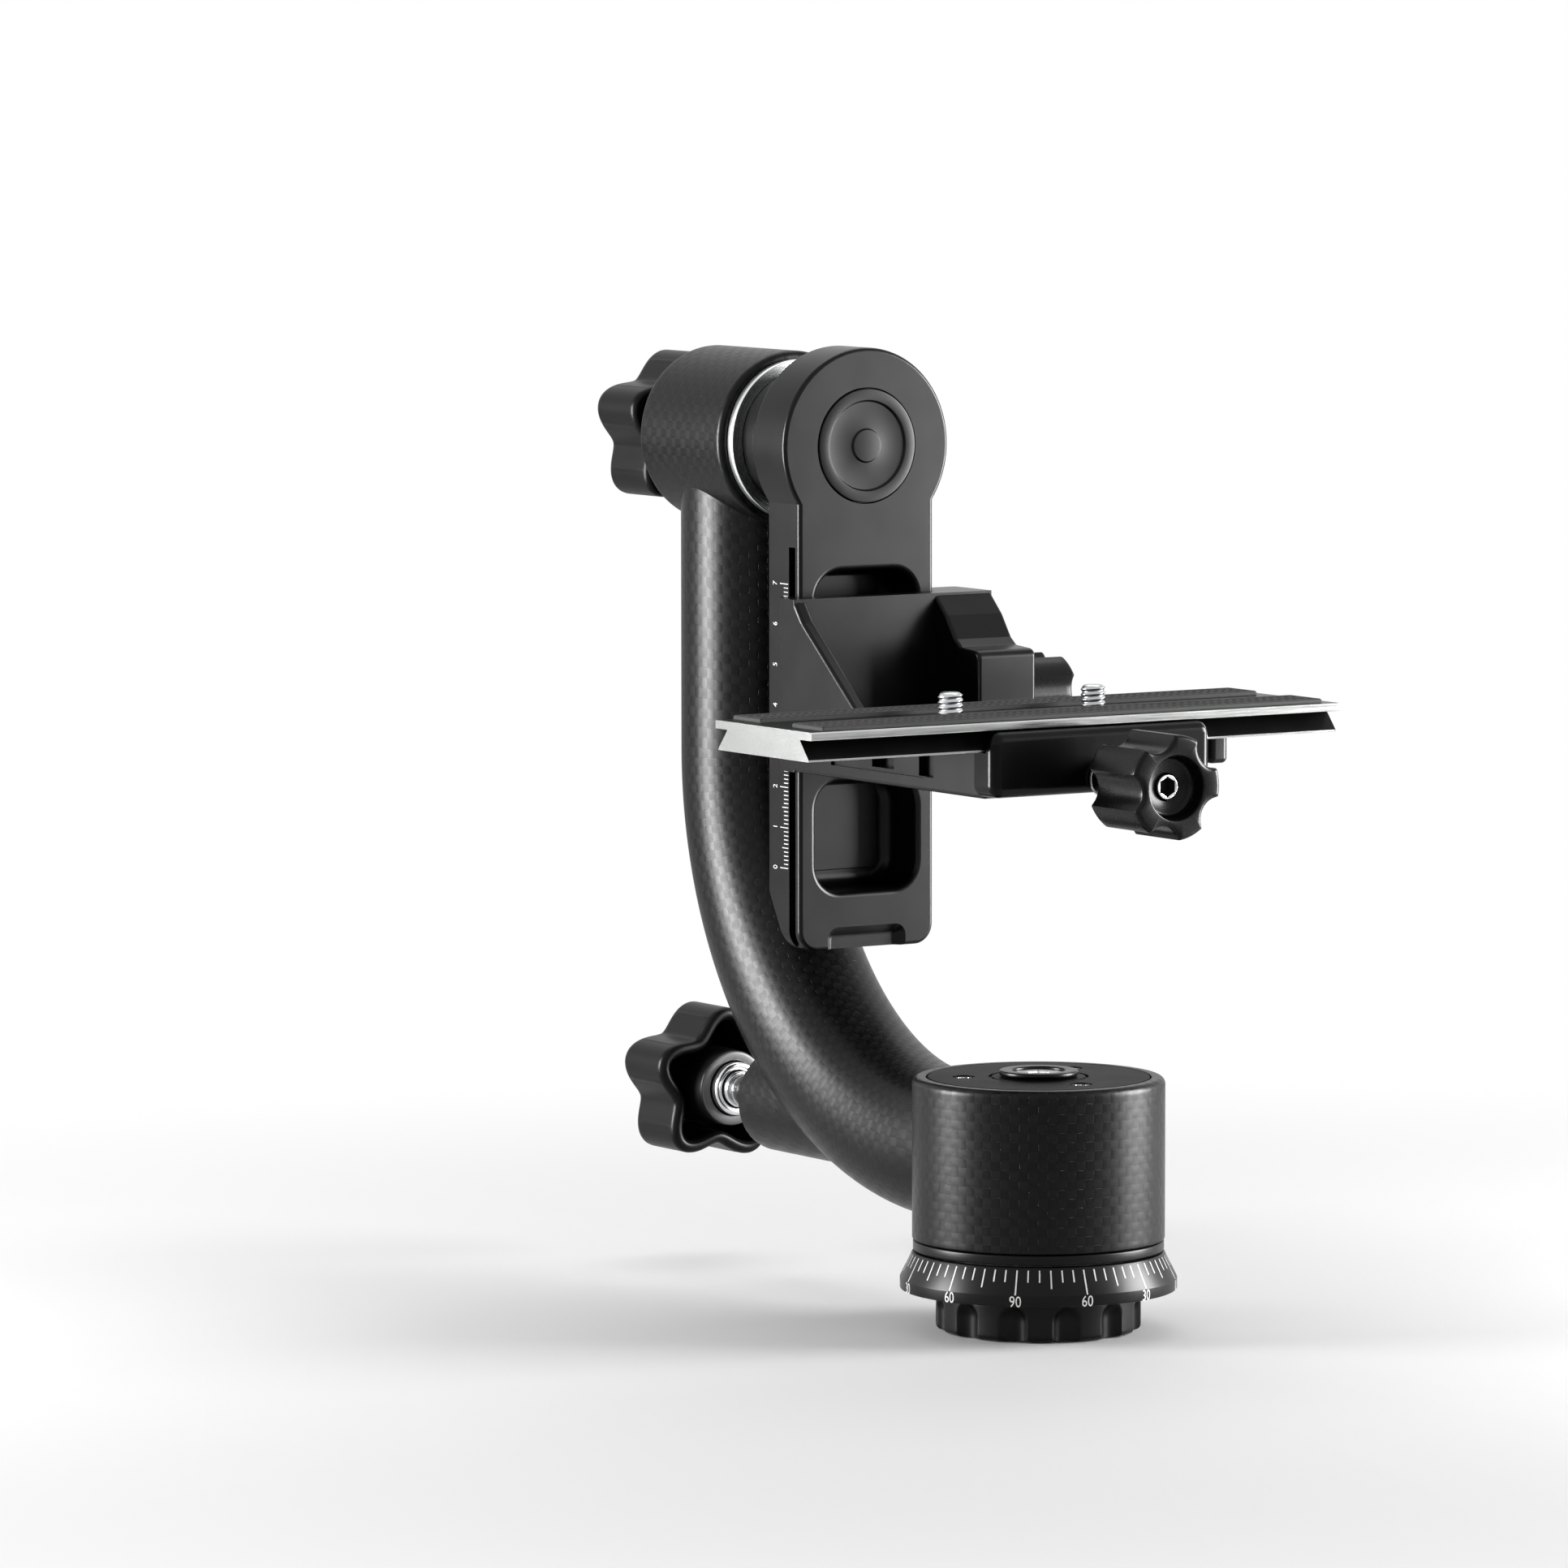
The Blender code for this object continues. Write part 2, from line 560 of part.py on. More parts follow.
def sweep(path, radius, sides):
    """Round bar along a path in the XZ plane, with flat ends."""
    bm = bmesh.new()
    rows = []
    for i, (x, z) in enumerate(path):
        before, after = path[max(i - 1, 0)], path[min(i + 1, len(path) - 1)]
        along = Vector((after[0] - before[0], 0, after[1] - before[1])).normalized()
        across = Vector((0, 1, 0)).cross(along)
        row = []
        for k in range(sides):
            angle = math.tau * (k + 0.5) / sides
            offset = across * math.cos(angle) + Vector((0, 1, 0)) * math.sin(angle)
            row.append(bm.verts.new(Vector((x, 0, z)) + offset * radius))
        rows.append(row)
    for lower, upper in zip(rows, rows[1:]):
        for k in range(sides):
            j = (k + 1) % sides
            bm.faces.new((lower[k], lower[j], upper[j], upper[k]))
    bm.faces.new(rows[0])
    bm.faces.new(rows[-1])
    bmesh.ops.recalc_face_normals(bm, faces=bm.faces)
    return bm


def screws(count, circle_radius, radius, low, high, phase=0.0, steps=TINY_ROUND_STEPS):
    """Equal round cutters on a circle."""
    bm = bmesh.new()
    for i in range(count):
        angle = phase + math.tau * i / count
        made = bmesh.ops.create_cone(bm, cap_ends=True, segments=steps, radius1=radius, radius2=radius,
                                     depth=high - low)
        bmesh.ops.translate(bm, verts=made["verts"], vec=(circle_radius * math.cos(angle),
                                                          circle_radius * math.sin(angle),
                                                          (low + high) / 2))
    return bm


def screw_set(name, count, circle_radius, radius, low, high, parent=None, phase=0.0):
    """One plain screw for each hole on a circle."""
    for i in range(count):
        angle = phase + math.tau * i / count
        finish(disc(radius, low, high, TINY_ROUND_STEPS), f"{name}_{i + 1}", STEEL, parent,
               (circle_radius * math.cos(angle), circle_radius * math.sin(angle), 0))


def build_base():
    """Fluted collar with the tripod socket, graduated ring and pan spindle."""
    bush_radius = SOCKET_THREAD_RADIUS + SOCKET_BUSH_WALL
    collar = finish(ring(bush_radius + GAP, COLLAR_RADIUS, 0, COLLAR_HEIGHT, edge=COLLAR_CHAMFER),
                    "base_collar", SATIN_BLACK)
    flute_top = COLLAR_HEIGHT - COLLAR_CHAMFER
    flutes = screws(FLUTE_COUNT, COLLAR_RADIUS - FLUTE_DEPTH + FLUTE_RADIUS, FLUTE_RADIUS, -OVERCUT,
                    flute_top, math.radians(FLUTE_PHASE_DEG))
    cut(collar, flutes)
    cut(collar, screws(BASE_SCREW_COUNT, BASE_SCREW_CIRCLE, BASE_SCREW_RADIUS + GAP, -OVERCUT,
                       COLLAR_HEIGHT + OVERCUT))
    finish(ring(SOCKET_THREAD_RADIUS, bush_radius, 0, COLLAR_HEIGHT, SMALL_ROUND_STEPS),
           "socket_bush", BRASS)
    screw_low = COLLAR_HEIGHT + 3 * GAP - BASE_SCREW_LENGTH
    screw_set("base_screw", BASE_SCREW_COUNT, BASE_SCREW_CIRCLE, BASE_SCREW_RADIUS, screw_low,
              COLLAR_HEIGHT + BASE_SCREW_LENGTH / 2)

    flange_radius = SPINDLE_RADIUS + SPINDLE_FLANGE_WIDTH
    washer_inner = flange_radius + 2 * GAP
    washer_outer = washer_inner + THRUST_WASHER_WIDTH
    dial = [(flange_radius + GAP, DIAL_BOTTOM), (DIAL_RADIUS, DIAL_BOTTOM),
            (DIAL_RADIUS, DIAL_BOTTOM + DIAL_BAND_HEIGHT), (DIAL_TOP_RADIUS, DIAL_TOP),
            (washer_outer + GAP, DIAL_TOP), (washer_outer + GAP, THRUST_FLOOR),
            (flange_radius + GAP, THRUST_FLOOR)]
    dial_ring = finish(turned(dial), "graduated_ring", SATIN_BLACK)
    cut(dial_ring, screws(BASE_SCREW_COUNT, BASE_SCREW_CIRCLE, BASE_SCREW_RADIUS + GAP,
                          DIAL_BOTTOM - OVERCUT, COLLAR_HEIGHT + BASE_SCREW_LENGTH / 2 + GAP))
    washer_low = THRUST_FLOOR + GAP
    finish(ring(washer_inner, washer_outer, washer_low, washer_low + THRUST_WASHER_THICKNESS),
           "thrust_washer", NYLON)
    spindle = [(0, DIAL_BOTTOM), (flange_radius, DIAL_BOTTOM), (flange_radius, THRUST_FLOOR),
               (SPINDLE_RADIUS, THRUST_FLOOR), (SPINDLE_RADIUS, UPPER_BEARING_TOP),
               (SPINDLE_RADIUS / 2, UPPER_BEARING_TOP),
               (SPINDLE_RADIUS / 2, SPINDLE_NUT_TOP), (0, SPINDLE_NUT_TOP)]
    finish(turned(spindle, SMALL_ROUND_STEPS + 4), "pan_spindle", STEEL)
    bore = circle(SPINDLE_RADIUS / 2 + GAP, SMALL_ROUND_STEPS + 4)
    flats = hexagon(SPINDLE_RADIUS + GAP, SMALL_ROUND_STEPS + 4)
    finish(closed_loft([(SPINDLE_NUT_BOTTOM, bore), (SPINDLE_NUT_BOTTOM, flats), (SPINDLE_NUT_TOP, flats),
                        (SPINDLE_NUT_TOP, bore)]), "spindle_nut", STEEL)


def build_drum(pan):
    """Carbon drum round an aluminium core, with its flange ring, bearings and cap."""
    flange_radius = DRUM_RADIUS - DRUM_FLANGE_INSET
    finish(ring(SPINDLE_RADIUS + 2 * GAP, flange_radius, DRUM_FLANGE_BOTTOM,
                DRUM_FLANGE_BOTTOM + DRUM_FLANGE_HEIGHT), "drum_flange_ring", SATIN_BLACK, pan)
    outer = [(DRUM_BORE, DRUM_BOTTOM), (DRUM_RADIUS, DRUM_BOTTOM)]
    for i in range(4):
        angle = math.radians(30 * i)
        outer.append((DRUM_RADIUS - DRUM_EDGE_RADIUS * (1 - math.cos(angle)),
                      DRUM_TOP - DRUM_EDGE_RADIUS * (1 - math.sin(angle))))
    ledge = DRUM_BORE + CAP_LEDGE
    outer += [(ledge, DRUM_TOP), (ledge, CAP_BOTTOM - GAP), (DRUM_BORE, CAP_BOTTOM - GAP)]
    shell = finish(turned(outer), "pan_drum", CARBON, pan)
    hole = LOCK_SCREW_RADIUS + GAP
    reach = DRUM_RADIUS + OVERCUT
    cut(shell, disc(hole, 0, reach, TINY_ROUND_STEPS), place=(0, 0, PAN_LOCK_HEIGHT), turn=ALONG_MINUS_X)
    core = finish(ring(CORE_BORE, DRUM_BORE - GAP, CORE_BOTTOM, CORE_TOP), "drum_core",
                  BARE_ALUMINIUM, pan)
    cut(core, disc(BRAKE_PAD_RADIUS + GAP, 0, reach, SMALL_ROUND_STEPS), place=(0, 0, PAN_LOCK_HEIGHT),
        turn=ALONG_MINUS_X)
    bearing_inner = SPINDLE_RADIUS + GAP
    for name, low, top in (("lower_pan_bearing", LOWER_BEARING_BOTTOM, LOWER_BEARING_TOP),
                           ("upper_pan_bearing", UPPER_BEARING_BOTTOM, UPPER_BEARING_TOP)):
        finish(ring(bearing_inner, bearing_inner + BEARING_WALL, low, top,
                    SMALL_ROUND_STEPS + 4), name, STEEL, pan)
    cap = finish(disc(CAP_RADIUS, CAP_BOTTOM, DRUM_TOP), "drum_cap", GLOSS_BLACK, pan)
    cut(cap, screws(CAP_SCREW_COUNT, CAP_SCREW_CIRCLE, CAP_SCREW_RADIUS + GAP,
                    DRUM_TOP - CAP_SCREW_DEPTH, DRUM_TOP + OVERCUT))
    screw_set("cap_screw", CAP_SCREW_COUNT, CAP_SCREW_CIRCLE, CAP_SCREW_RADIUS,
              DRUM_TOP - CAP_SCREW_DEPTH + GAP, DRUM_TOP - GAP, pan)
    hub_low = DRUM_TOP + GAP
    finish(ring(CAP_HUB_RADIUS - CAP_HUB_WIDTH, CAP_HUB_RADIUS, hub_low, hub_low + CAP_HUB_HEIGHT,
                edge=CAP_HUB_HEIGHT / 3), "cap_hub", GLOSS_BLACK, pan)
    finish(disc(CAP_HUB_RADIUS - CAP_HUB_WIDTH - GAP, hub_low, hub_low + CAP_HUB_HEIGHT / 2,
                SMALL_ROUND_STEPS), "cap_centre_screw", STEEL, pan)


def build_tube(pan):
    """Hollow carbon J arm, fitted to the drum and the tilt barrel, with the pan lock boss."""
    inside = -(DRUM_RADIUS - DRUM_WALL)
    tube = finish(sweep(tube_path(inside, TILT_HEIGHT), TUBE_RADIUS, TUBE_SIDES), "arm_tube", CARBON, pan)
    cut(tube, sweep(tube_path(inside + OVERCUT, TILT_HEIGHT + OVERCUT), TUBE_RADIUS - TUBE_WALL,
                    TUBE_SIDES))
    cut(tube, disc(DRUM_RADIUS + GAP, DRUM_BOTTOM - 10 * OVERCUT, DRUM_TOP + 10 * OVERCUT))
    cut(tube, disc(BARREL_RADIUS + GAP, -BARREL_LENGTH, BARREL_LENGTH),
        place=(-TUBE_OFFSET, 0, TILT_HEIGHT), turn=ALONG_X)
    hole = LOCK_SCREW_RADIUS + GAP
    cut(tube, disc(hole, DRUM_RADIUS, -PAN_BOSS_END, TINY_ROUND_STEPS), place=(0, 0, PAN_LOCK_HEIGHT),
        turn=ALONG_MINUS_X)

    boss = finish(disc(PAN_BOSS_RADIUS, PAN_BOSS_END, PAN_BOSS_ROOT, SMALL_ROUND_STEPS + 12),
                  "pan_lock_boss", SATIN_BLACK, pan, (0, 0, PAN_LOCK_HEIGHT), ALONG_X)
    cut(boss, sweep(tube_path(inside, TILT_HEIGHT), TUBE_RADIUS + GAP, TUBE_SIDES))
    cut(boss, disc(hole, PAN_BOSS_END - OVERCUT, 0, TINY_ROUND_STEPS), place=(0, 0, PAN_LOCK_HEIGHT),
        turn=ALONG_X)
    pad_start = SPINDLE_RADIUS + GAP
    pad = finish(disc(BRAKE_PAD_RADIUS, pad_start, pad_start + BRAKE_PAD_THICKNESS, SMALL_ROUND_STEPS),
                 "pan_brake_pad", BRASS, pan, (0, 0, PAN_LOCK_HEIGHT), ALONG_MINUS_X)
    cut(pad, disc(SPINDLE_RADIUS + GAP, DRUM_BOTTOM, DRUM_TOP))


def build_barrel(pan):
    """Tilt barrel across the top of the J arm, with its core, bearings, end plug and brake pad."""
    half = BARREL_LENGTH / 2
    place = (-TUBE_OFFSET, 0, TILT_HEIGHT)
    finish(ring(BARREL_RADIUS - BARREL_WALL, BARREL_RADIUS, -half, half, edge=BARREL_EDGE),
           "tilt_barrel", CARBON, pan, place, ALONG_X)
    core_radius = BARREL_RADIUS - BARREL_WALL - GAP
    bearing_outer = AXLE_RADIUS + GAP + TILT_BEARING_WALL
    core_low = -half + BARREL_CAP_THICKNESS + 2 * GAP
    finish(ring(bearing_outer + GAP, core_radius, core_low, half), "tilt_core", BARE_ALUMINIUM, pan,
           place, ALONG_X)
    inner_low = half - TILT_BEARING_WIDTH
    outer_low = core_low + AXLE_HEAD_THICKNESS + 2 * GAP
    for name, low in (("tilt_bearing_inner", inner_low), ("tilt_bearing_outer", outer_low)):
        finish(ring(AXLE_RADIUS + GAP, bearing_outer, low, low + TILT_BEARING_WIDTH,
                    SMALL_ROUND_STEPS + 4), name, STEEL, pan, place, ALONG_X)
    plug = finish(disc(core_radius, -half + GAP, -half + GAP + BARREL_CAP_THICKNESS),
                  "barrel_end_plug", SATIN_BLACK, pan, place, ALONG_X)
    cut(plug, disc(LOCK_SCREW_RADIUS + GAP, -half - OVERCUT, half, TINY_ROUND_STEPS), place=place,
        turn=ALONG_X)


def large_knob(name, parent, hub_x, height):
    """Hollow lobed knob open towards the arm, with its hub round a chrome insert."""
    count = KNOB_LOBES * KNOB_POINTS_PER_LOBE
    outline = lobed(KNOB_RADIUS, KNOB_LOBE_DEPTH, KNOB_LOBES, KNOB_POINTS_PER_LOBE,
                    math.radians(KNOB_PHASE_DEG))
    rim = KNOB_HUB_REACH
    back = rim + KNOB_LENGTH
    floor = back - KNOB_FLOOR
    bore = circle(INSERT_RADIUS + GAP, count)
    hub = circle(KNOB_HUB_RADIUS, count)
    sections = [(back, inset(outline, 1.6 * KNOB_EDGE)), (back - KNOB_EDGE, inset(outline, KNOB_EDGE / 4)),
                (back - 2 * KNOB_EDGE, outline), (rim + KNOB_EDGE / 2, outline),
                (rim, inset(outline, KNOB_EDGE / 2)), (rim, inset(outline, KNOB_WALL)),
                (floor, inset(outline, KNOB_WALL)), (floor, hub), (0, hub), (0, bore),
                (floor, bore)]
    place = (hub_x, 0, height)
    finish(loft(sections), name, KNOB_BLACK, parent, place, ALONG_MINUS_X)
    insert = ring(LOCK_SCREW_RADIUS + GAP, INSERT_RADIUS, -INSERT_REACH, floor - GAP, SMALL_ROUND_STEPS + 4,
                  edge=INSERT_REACH / 3)
    finish(insert, f"{name}_insert", CHROME, parent, place, ALONG_MINUS_X)
    return floor


def build_pan_lock(knob):
    """Pan lock knob with the long screw that reaches the spindle through the tube."""
    floor = large_knob("pan_knob", knob, PAN_KNOB_HUB, PAN_LOCK_HEIGHT)
    screw_tip = -(SPINDLE_RADIUS + BRAKE_PAD_THICKNESS + 2 * GAP)
    finish(disc(LOCK_SCREW_RADIUS, -screw_tip, -PAN_KNOB_HUB + floor - GAP, SMALL_ROUND_STEPS),
           "pan_lock_screw", CHROME, knob, (0, 0, PAN_LOCK_HEIGHT), ALONG_MINUS_X)


def build_tilt_lock(pan, knob):
    """Tilt lock knob with its stud, and the brake pad that it presses on the axle's head."""
    floor = large_knob("tilt_knob", knob, TILT_KNOB_HUB, TILT_HEIGHT)
    plug_inner = BARREL_OUTER_END + GAP + BARREL_CAP_THICKNESS
    stud_tip = plug_inner - BRAKE_PAD_THICKNESS / 2 - GAP
    finish(disc(LOCK_SCREW_RADIUS, -stud_tip, -TILT_KNOB_HUB + floor - GAP, SMALL_ROUND_STEPS),
           "tilt_lock_stud", CHROME, knob, (0, 0, TILT_HEIGHT), ALONG_MINUS_X)
    finish(disc(LOCK_SCREW_RADIUS, stud_tip + GAP, plug_inner, SMALL_ROUND_STEPS), "tilt_brake_pad",
           BRASS, pan, (0, 0, TILT_HEIGHT), ALONG_X)


def arm_outline():
    """Swing arm seen along X: a round hub over a straight bar with round lower corners."""
    points = []
    reach = math.asin(ARM_HALF_WIDTH / ARM_HUB_RADIUS)
    for i in range(25):
        angle = -(math.pi / 2 - reach) + (math.pi + 2 * (math.pi / 2 - reach)) * i / 24
        points.append((ARM_HUB_RADIUS * math.cos(angle), TILT_HEIGHT + ARM_HUB_RADIUS * math.sin(angle)))
    for side, start in ((-1, 180), (1, 270)):
        for i in range(4):
            angle = math.radians(start + 30 * i)
            points.append((side * (ARM_HALF_WIDTH - ARM_CORNER_RADIUS) + ARM_CORNER_RADIUS
                           * math.cos(angle), ARM_BOTTOM + ARM_CORNER_RADIUS * (1 + math.sin(angle))))
    return points


def build_swing_arm(tilt):
    """Swing arm casting with its rail, pockets and hub, and the axle that carries it."""
    arm = finish(prism(arm_outline(), 0, ARM_BACK, -ARM_FACE_OFFSET), "swing_arm", GLOSS_BLACK, tilt)
    cut(arm, disc(HUB_BOSS_RADIUS, HUB_WASHER_END + GAP, ARM_BACK + OVERCUT), "UNION",
        (0, 0, TILT_HEIGHT), ALONG_X)
    wide = 2 * ARM_HUB_RADIUS
    for side in (-1, 1):
        near, far = sorted((side * NECK_HALF_WIDTH, side * wide))
        cut(arm, block((GROOVE_BACK, near, ARM_BOTTOM - OVERCUT), (RAIL_BACK, far, RAIL_TOP)))
    for low, high in ((POCKET_BOTTOM, POCKET_SPLIT), (POCKET_SPLIT + POCKET_RIB, POCKET_TOP)):
        cut(arm, prism(rounded(POCKET_HALF_WIDTH, low, high, POCKET_CORNER_RADIUS), 0,
                       ARM_BACK + ARM_BACK_WALL, -ARM_FACE_OFFSET + OVERCUT))
    cut(arm, block((-ARM_FACE_OFFSET - ARM_NOTCH_DEPTH, -ARM_NOTCH_HALF_WIDTH, ARM_BOTTOM - OVERCUT),
                   (-ARM_FACE_OFFSET + OVERCUT, ARM_NOTCH_HALF_WIDTH, ARM_BOTTOM + ARM_NOTCH_HEIGHT)))
    slope = ARM_TAPER_DEPTH / ARM_TAPER_HEIGHT
    wedge = [(ARM_BACK - OVERCUT, ARM_BOTTOM - OVERCUT),
             (ARM_BACK + ARM_TAPER_DEPTH + OVERCUT * slope, ARM_BOTTOM - OVERCUT),
             (ARM_BACK - OVERCUT * slope, ARM_BOTTOM + ARM_TAPER_HEIGHT + OVERCUT),
             (ARM_BACK - OVERCUT, ARM_BOTTOM + ARM_TAPER_HEIGHT + OVERCUT)]
    cut(arm, prism(wedge, 1, -wide, wide))
    cover_seat = -ARM_FACE_OFFSET - HUB_COVER_THICKNESS
    cut(arm, disc(HUB_COVER_RADIUS + GAP, cover_seat, -ARM_FACE_OFFSET + OVERCUT),
        place=(0, 0, TILT_HEIGHT), turn=ALONG_X)
    cut(arm, disc(AXLE_RADIUS + GAP, HUB_WASHER_START, 0, SMALL_ROUND_STEPS + 4),
        place=(0, 0, TILT_HEIGHT), turn=ALONG_X)

    at = (0, 0, TILT_HEIGHT)
    finish(ring(AXLE_RADIUS + GAP, HUB_WASHER_RADIUS, HUB_WASHER_START, HUB_WASHER_END), "hub_washer",
           BARE_ALUMINIUM, tilt, at, ALONG_X)
    head_start = BARREL_OUTER_END + BARREL_CAP_THICKNESS + 2 * GAP
    head_end = head_start + AXLE_HEAD_THICKNESS
    axle_end = cover_seat - GAP
    axle = [(0, head_start), (AXLE_HEAD_RADIUS, head_start), (AXLE_HEAD_RADIUS, head_end),
            (AXLE_RADIUS, head_end), (AXLE_RADIUS, axle_end), (0, axle_end)]
    finish(turned(axle, SMALL_ROUND_STEPS + 4), "tilt_axle", STEEL, tilt, at, ALONG_X)
    finish(disc(HUB_COVER_RADIUS, cover_seat + GAP, -ARM_FACE_OFFSET + GAP, edge=GAP), "hub_cover",
           SATIN_BLACK, tilt, at, ALONG_X)


def build_bracket(height):
    """L-shaped platform casting that hooks round the rail, with the fixed jaw on its shelf."""
    outer = BRACKET_HALF_WIDTH
    chamfer_y = outer - BRACKET_LIP_CHAMFER
    chamfer_x = BRACKET_BACK - BRACKET_LIP_CHAMFER / 4
    wall = [(BRACKET_FACE, -outer), (chamfer_x, -outer), (HOOK_BACK, -chamfer_y), (HOOK_BACK, -HOOK_TIP),
            (HOOK_FRONT, -HOOK_TIP), (HOOK_FRONT, -HOOK_ROOT), (BRACKET_BACK, -HOOK_ROOT),
            (BRACKET_BACK, HOOK_ROOT), (HOOK_FRONT, HOOK_ROOT), (HOOK_FRONT, HOOK_TIP),
            (HOOK_BACK, HOOK_TIP), (HOOK_BACK, HOOK_ROOT), (-CHEEK_BACK, HOOK_ROOT),
            (-CHEEK_BACK, CHEEK_OUTER), (BRACKET_FACE, CHEEK_OUTER)]
    bracket = finish(prism(wall, 2, BRACKET_BOTTOM, BRACKET_TOP), "platform_bracket", GLOSS_BLACK, height)

    shelf_edge = BRACKET_EDGE * 1.5
    shelf = block((BRACKET_BACK + GAP, -outer, BRACKET_BOTTOM), (SHELF_END, outer, SHELF_TOP))
    soften(shelf, shelf_edge, lambda mid, way: mid.z < BRACKET_BOTTOM + GAP and abs(way.x) > 0.9)
    cut(bracket, shelf, "UNION")
    gusset = [(BRACKET_FACE - GAP, SHELF_TOP - GAP), (BRACKET_FACE + GUSSET_RUN, SHELF_TOP - GAP),
              (BRACKET_FACE + GUSSET_TOP_REACH, BRACKET_BOTTOM + GUSSET_TOP_HEIGHT),
              (BRACKET_FACE - GAP, BRACKET_TOP - GAP)]
    cut(bracket, prism(gusset, 1, -outer, -outer + GUSSET_THICKNESS), "UNION")
    shoulder = BRACKET_BOTTOM + CHEEK_SHOULDER
    cheek = [(BRACKET_FACE - GAP, BRACKET_BOTTOM), (-CHEEK_FRONT, BRACKET_BOTTOM),
             (-CHEEK_FRONT, shoulder), (BRACKET_FACE + 3.2 * GUSSET_TOP_REACH, shoulder + GAP * 2),
             (BRACKET_FACE + 2.5 * GUSSET_TOP_REACH, shoulder + GAP * 8),
             (BRACKET_FACE + 1.4 * GUSSET_TOP_REACH, BRACKET_BOTTOM + GUSSET_TOP_HEIGHT),
             (BRACKET_FACE - GAP, BRACKET_TOP - GAP)]
    cut(bracket, prism(cheek, 1, CHEEK_INNER, CHEEK_OUTER), "UNION")

    lip = JAW_TOP - (PLATE_TOP - PLATE_FLANGE - PLATE_NECK_DROP - PLATE_DOVETAIL_HEIGHT)
    inner = PLATE_CENTRE - PLATE_FOOT_HALF_WIDTH - GAP
    fixed = [(inner - FIXED_JAW_THICKNESS, SHELF_TOP - GAP), (inner, SHELF_TOP - GAP),
             (inner, JAW_TOP - lip), (inner + JAW_LIP_OVERLAP, JAW_TOP),
             (inner - FIXED_JAW_THICKNESS, JAW_TOP)]
    cut(bracket, prism(fixed, 1, -FIXED_JAW_HALF_LENGTH, FIXED_JAW_HALF_LENGTH), "UNION")

    panel_low = BRACKET_BOTTOM + SIDE_PANEL_BORDER
    panel_high = SHELF_TOP - GAP * 4
    cut(bracket, block((-SIDE_PANEL_START, -outer - OVERCUT, panel_low),
                       (-SIDE_SLOT_START + SIDE_SLOT_WIDTH / 2, -outer + SIDE_PANEL_DEPTH, panel_high)))
    cut(bracket, block((-SIDE_SLOT_START, -outer - OVERCUT, panel_low + GAP),
                       (-SIDE_SLOT_START + SIDE_SLOT_WIDTH, -outer + SIDE_SLOT_DEPTH, panel_high - GAP)))
    cut(bracket, block((-SIDE_NOTCH_START, -outer - OVERCUT, panel_low + GAP * 3),
                       (-SIDE_NOTCH_START + SIDE_NOTCH_WIDTH, -outer + SIDE_NOTCH_DEPTH,
                        panel_low + GAP * 3 + SIDE_NOTCH_HEIGHT)))
    cut(bracket, disc(SMALL_STUD_RADIUS + GAP, SHELF_END - CLAMP_SCREW_DEPTH - GAP, SHELF_END + OVERCUT,
                      TINY_ROUND_STEPS), place=(0, CLAMP_CENTRE, CLAMP_SCREW_HEIGHT), turn=ALONG_X)
    for side in (-1, 1):
        cut(bracket, disc(GUIDE_PIN_RADIUS + GAP, SHELF_END - GUIDE_PIN_DEPTH - GAP, SHELF_END + OVERCUT,
                          TINY_ROUND_STEPS),
            place=(0, CLAMP_CENTRE + side * GUIDE_PIN_SPREAD, CLAMP_SCREW_HEIGHT),
            turn=ALONG_X)
    cut(bracket, disc(SMALL_STUD_RADIUS + GAP, HOOK_ROOT - GAP, CHEEK_OUTER + OVERCUT,
                      TINY_ROUND_STEPS), place=(HEIGHT_LOCK_X, 0, HEIGHT_LOCK_Z), turn=ALONG_Y)

    finish(disc(SMALL_STUD_RADIUS, GIB_START, GIB_END, TINY_ROUND_STEPS), "height_lock_pad", BRASS,
           height, (HEIGHT_LOCK_X, 0, HEIGHT_LOCK_Z), ALONG_Y)


def small_stud(low, high):
    """Plain stud whose far end has a hexagon socket."""
    socket = hexagon(SMALL_STUD_SOCKET, TINY_ROUND_STEPS)
    bm = loft([(low, circle(SMALL_STUD_RADIUS, TINY_ROUND_STEPS)),
               (high - GAP, circle(SMALL_STUD_RADIUS, TINY_ROUND_STEPS)),
               (high, circle(SMALL_STUD_RADIUS - GAP, TINY_ROUND_STEPS)),
               (high, socket), (high - SMALL_STUD_SOCKET_DEPTH, socket)])
    return bm


def small_knob(neck_radius, neck_length):
    """Lobed knob with a dished face and a bore for its stud, its neck starting at zero."""
    count = KNOB_LOBES * KNOB_POINTS_PER_LOBE
    outline = scalloped(SMALL_KNOB_RADIUS, SMALL_KNOB_VALLEY_RADIUS, SMALL_KNOB_SCALLOP_RADIUS, KNOB_LOBES,
                        KNOB_POINTS_PER_LOBE, math.radians(SMALL_KNOB_PHASE_DEG))
    face = neck_length + SMALL_KNOB_LENGTH
    dish = face - SMALL_KNOB_DISH_DEPTH
    bore = circle(SMALL_STUD_RADIUS + GAP, count)
    neck = circle(neck_radius, count)
    return [(-0.0, bore), (0.0, neck), (neck_length, neck),
            (neck_length, inset(outline, SMALL_KNOB_EDGE)),
            (neck_length + SMALL_KNOB_EDGE, outline), (face - SMALL_KNOB_EDGE, outline),
            (face, inset(outline, SMALL_KNOB_EDGE)), (face, circle(SMALL_KNOB_DISH_RADIUS, count)),
            (dish, circle(SMALL_KNOB_DISH_RADIUS - 2 * GAP, count)), (dish, bore)]


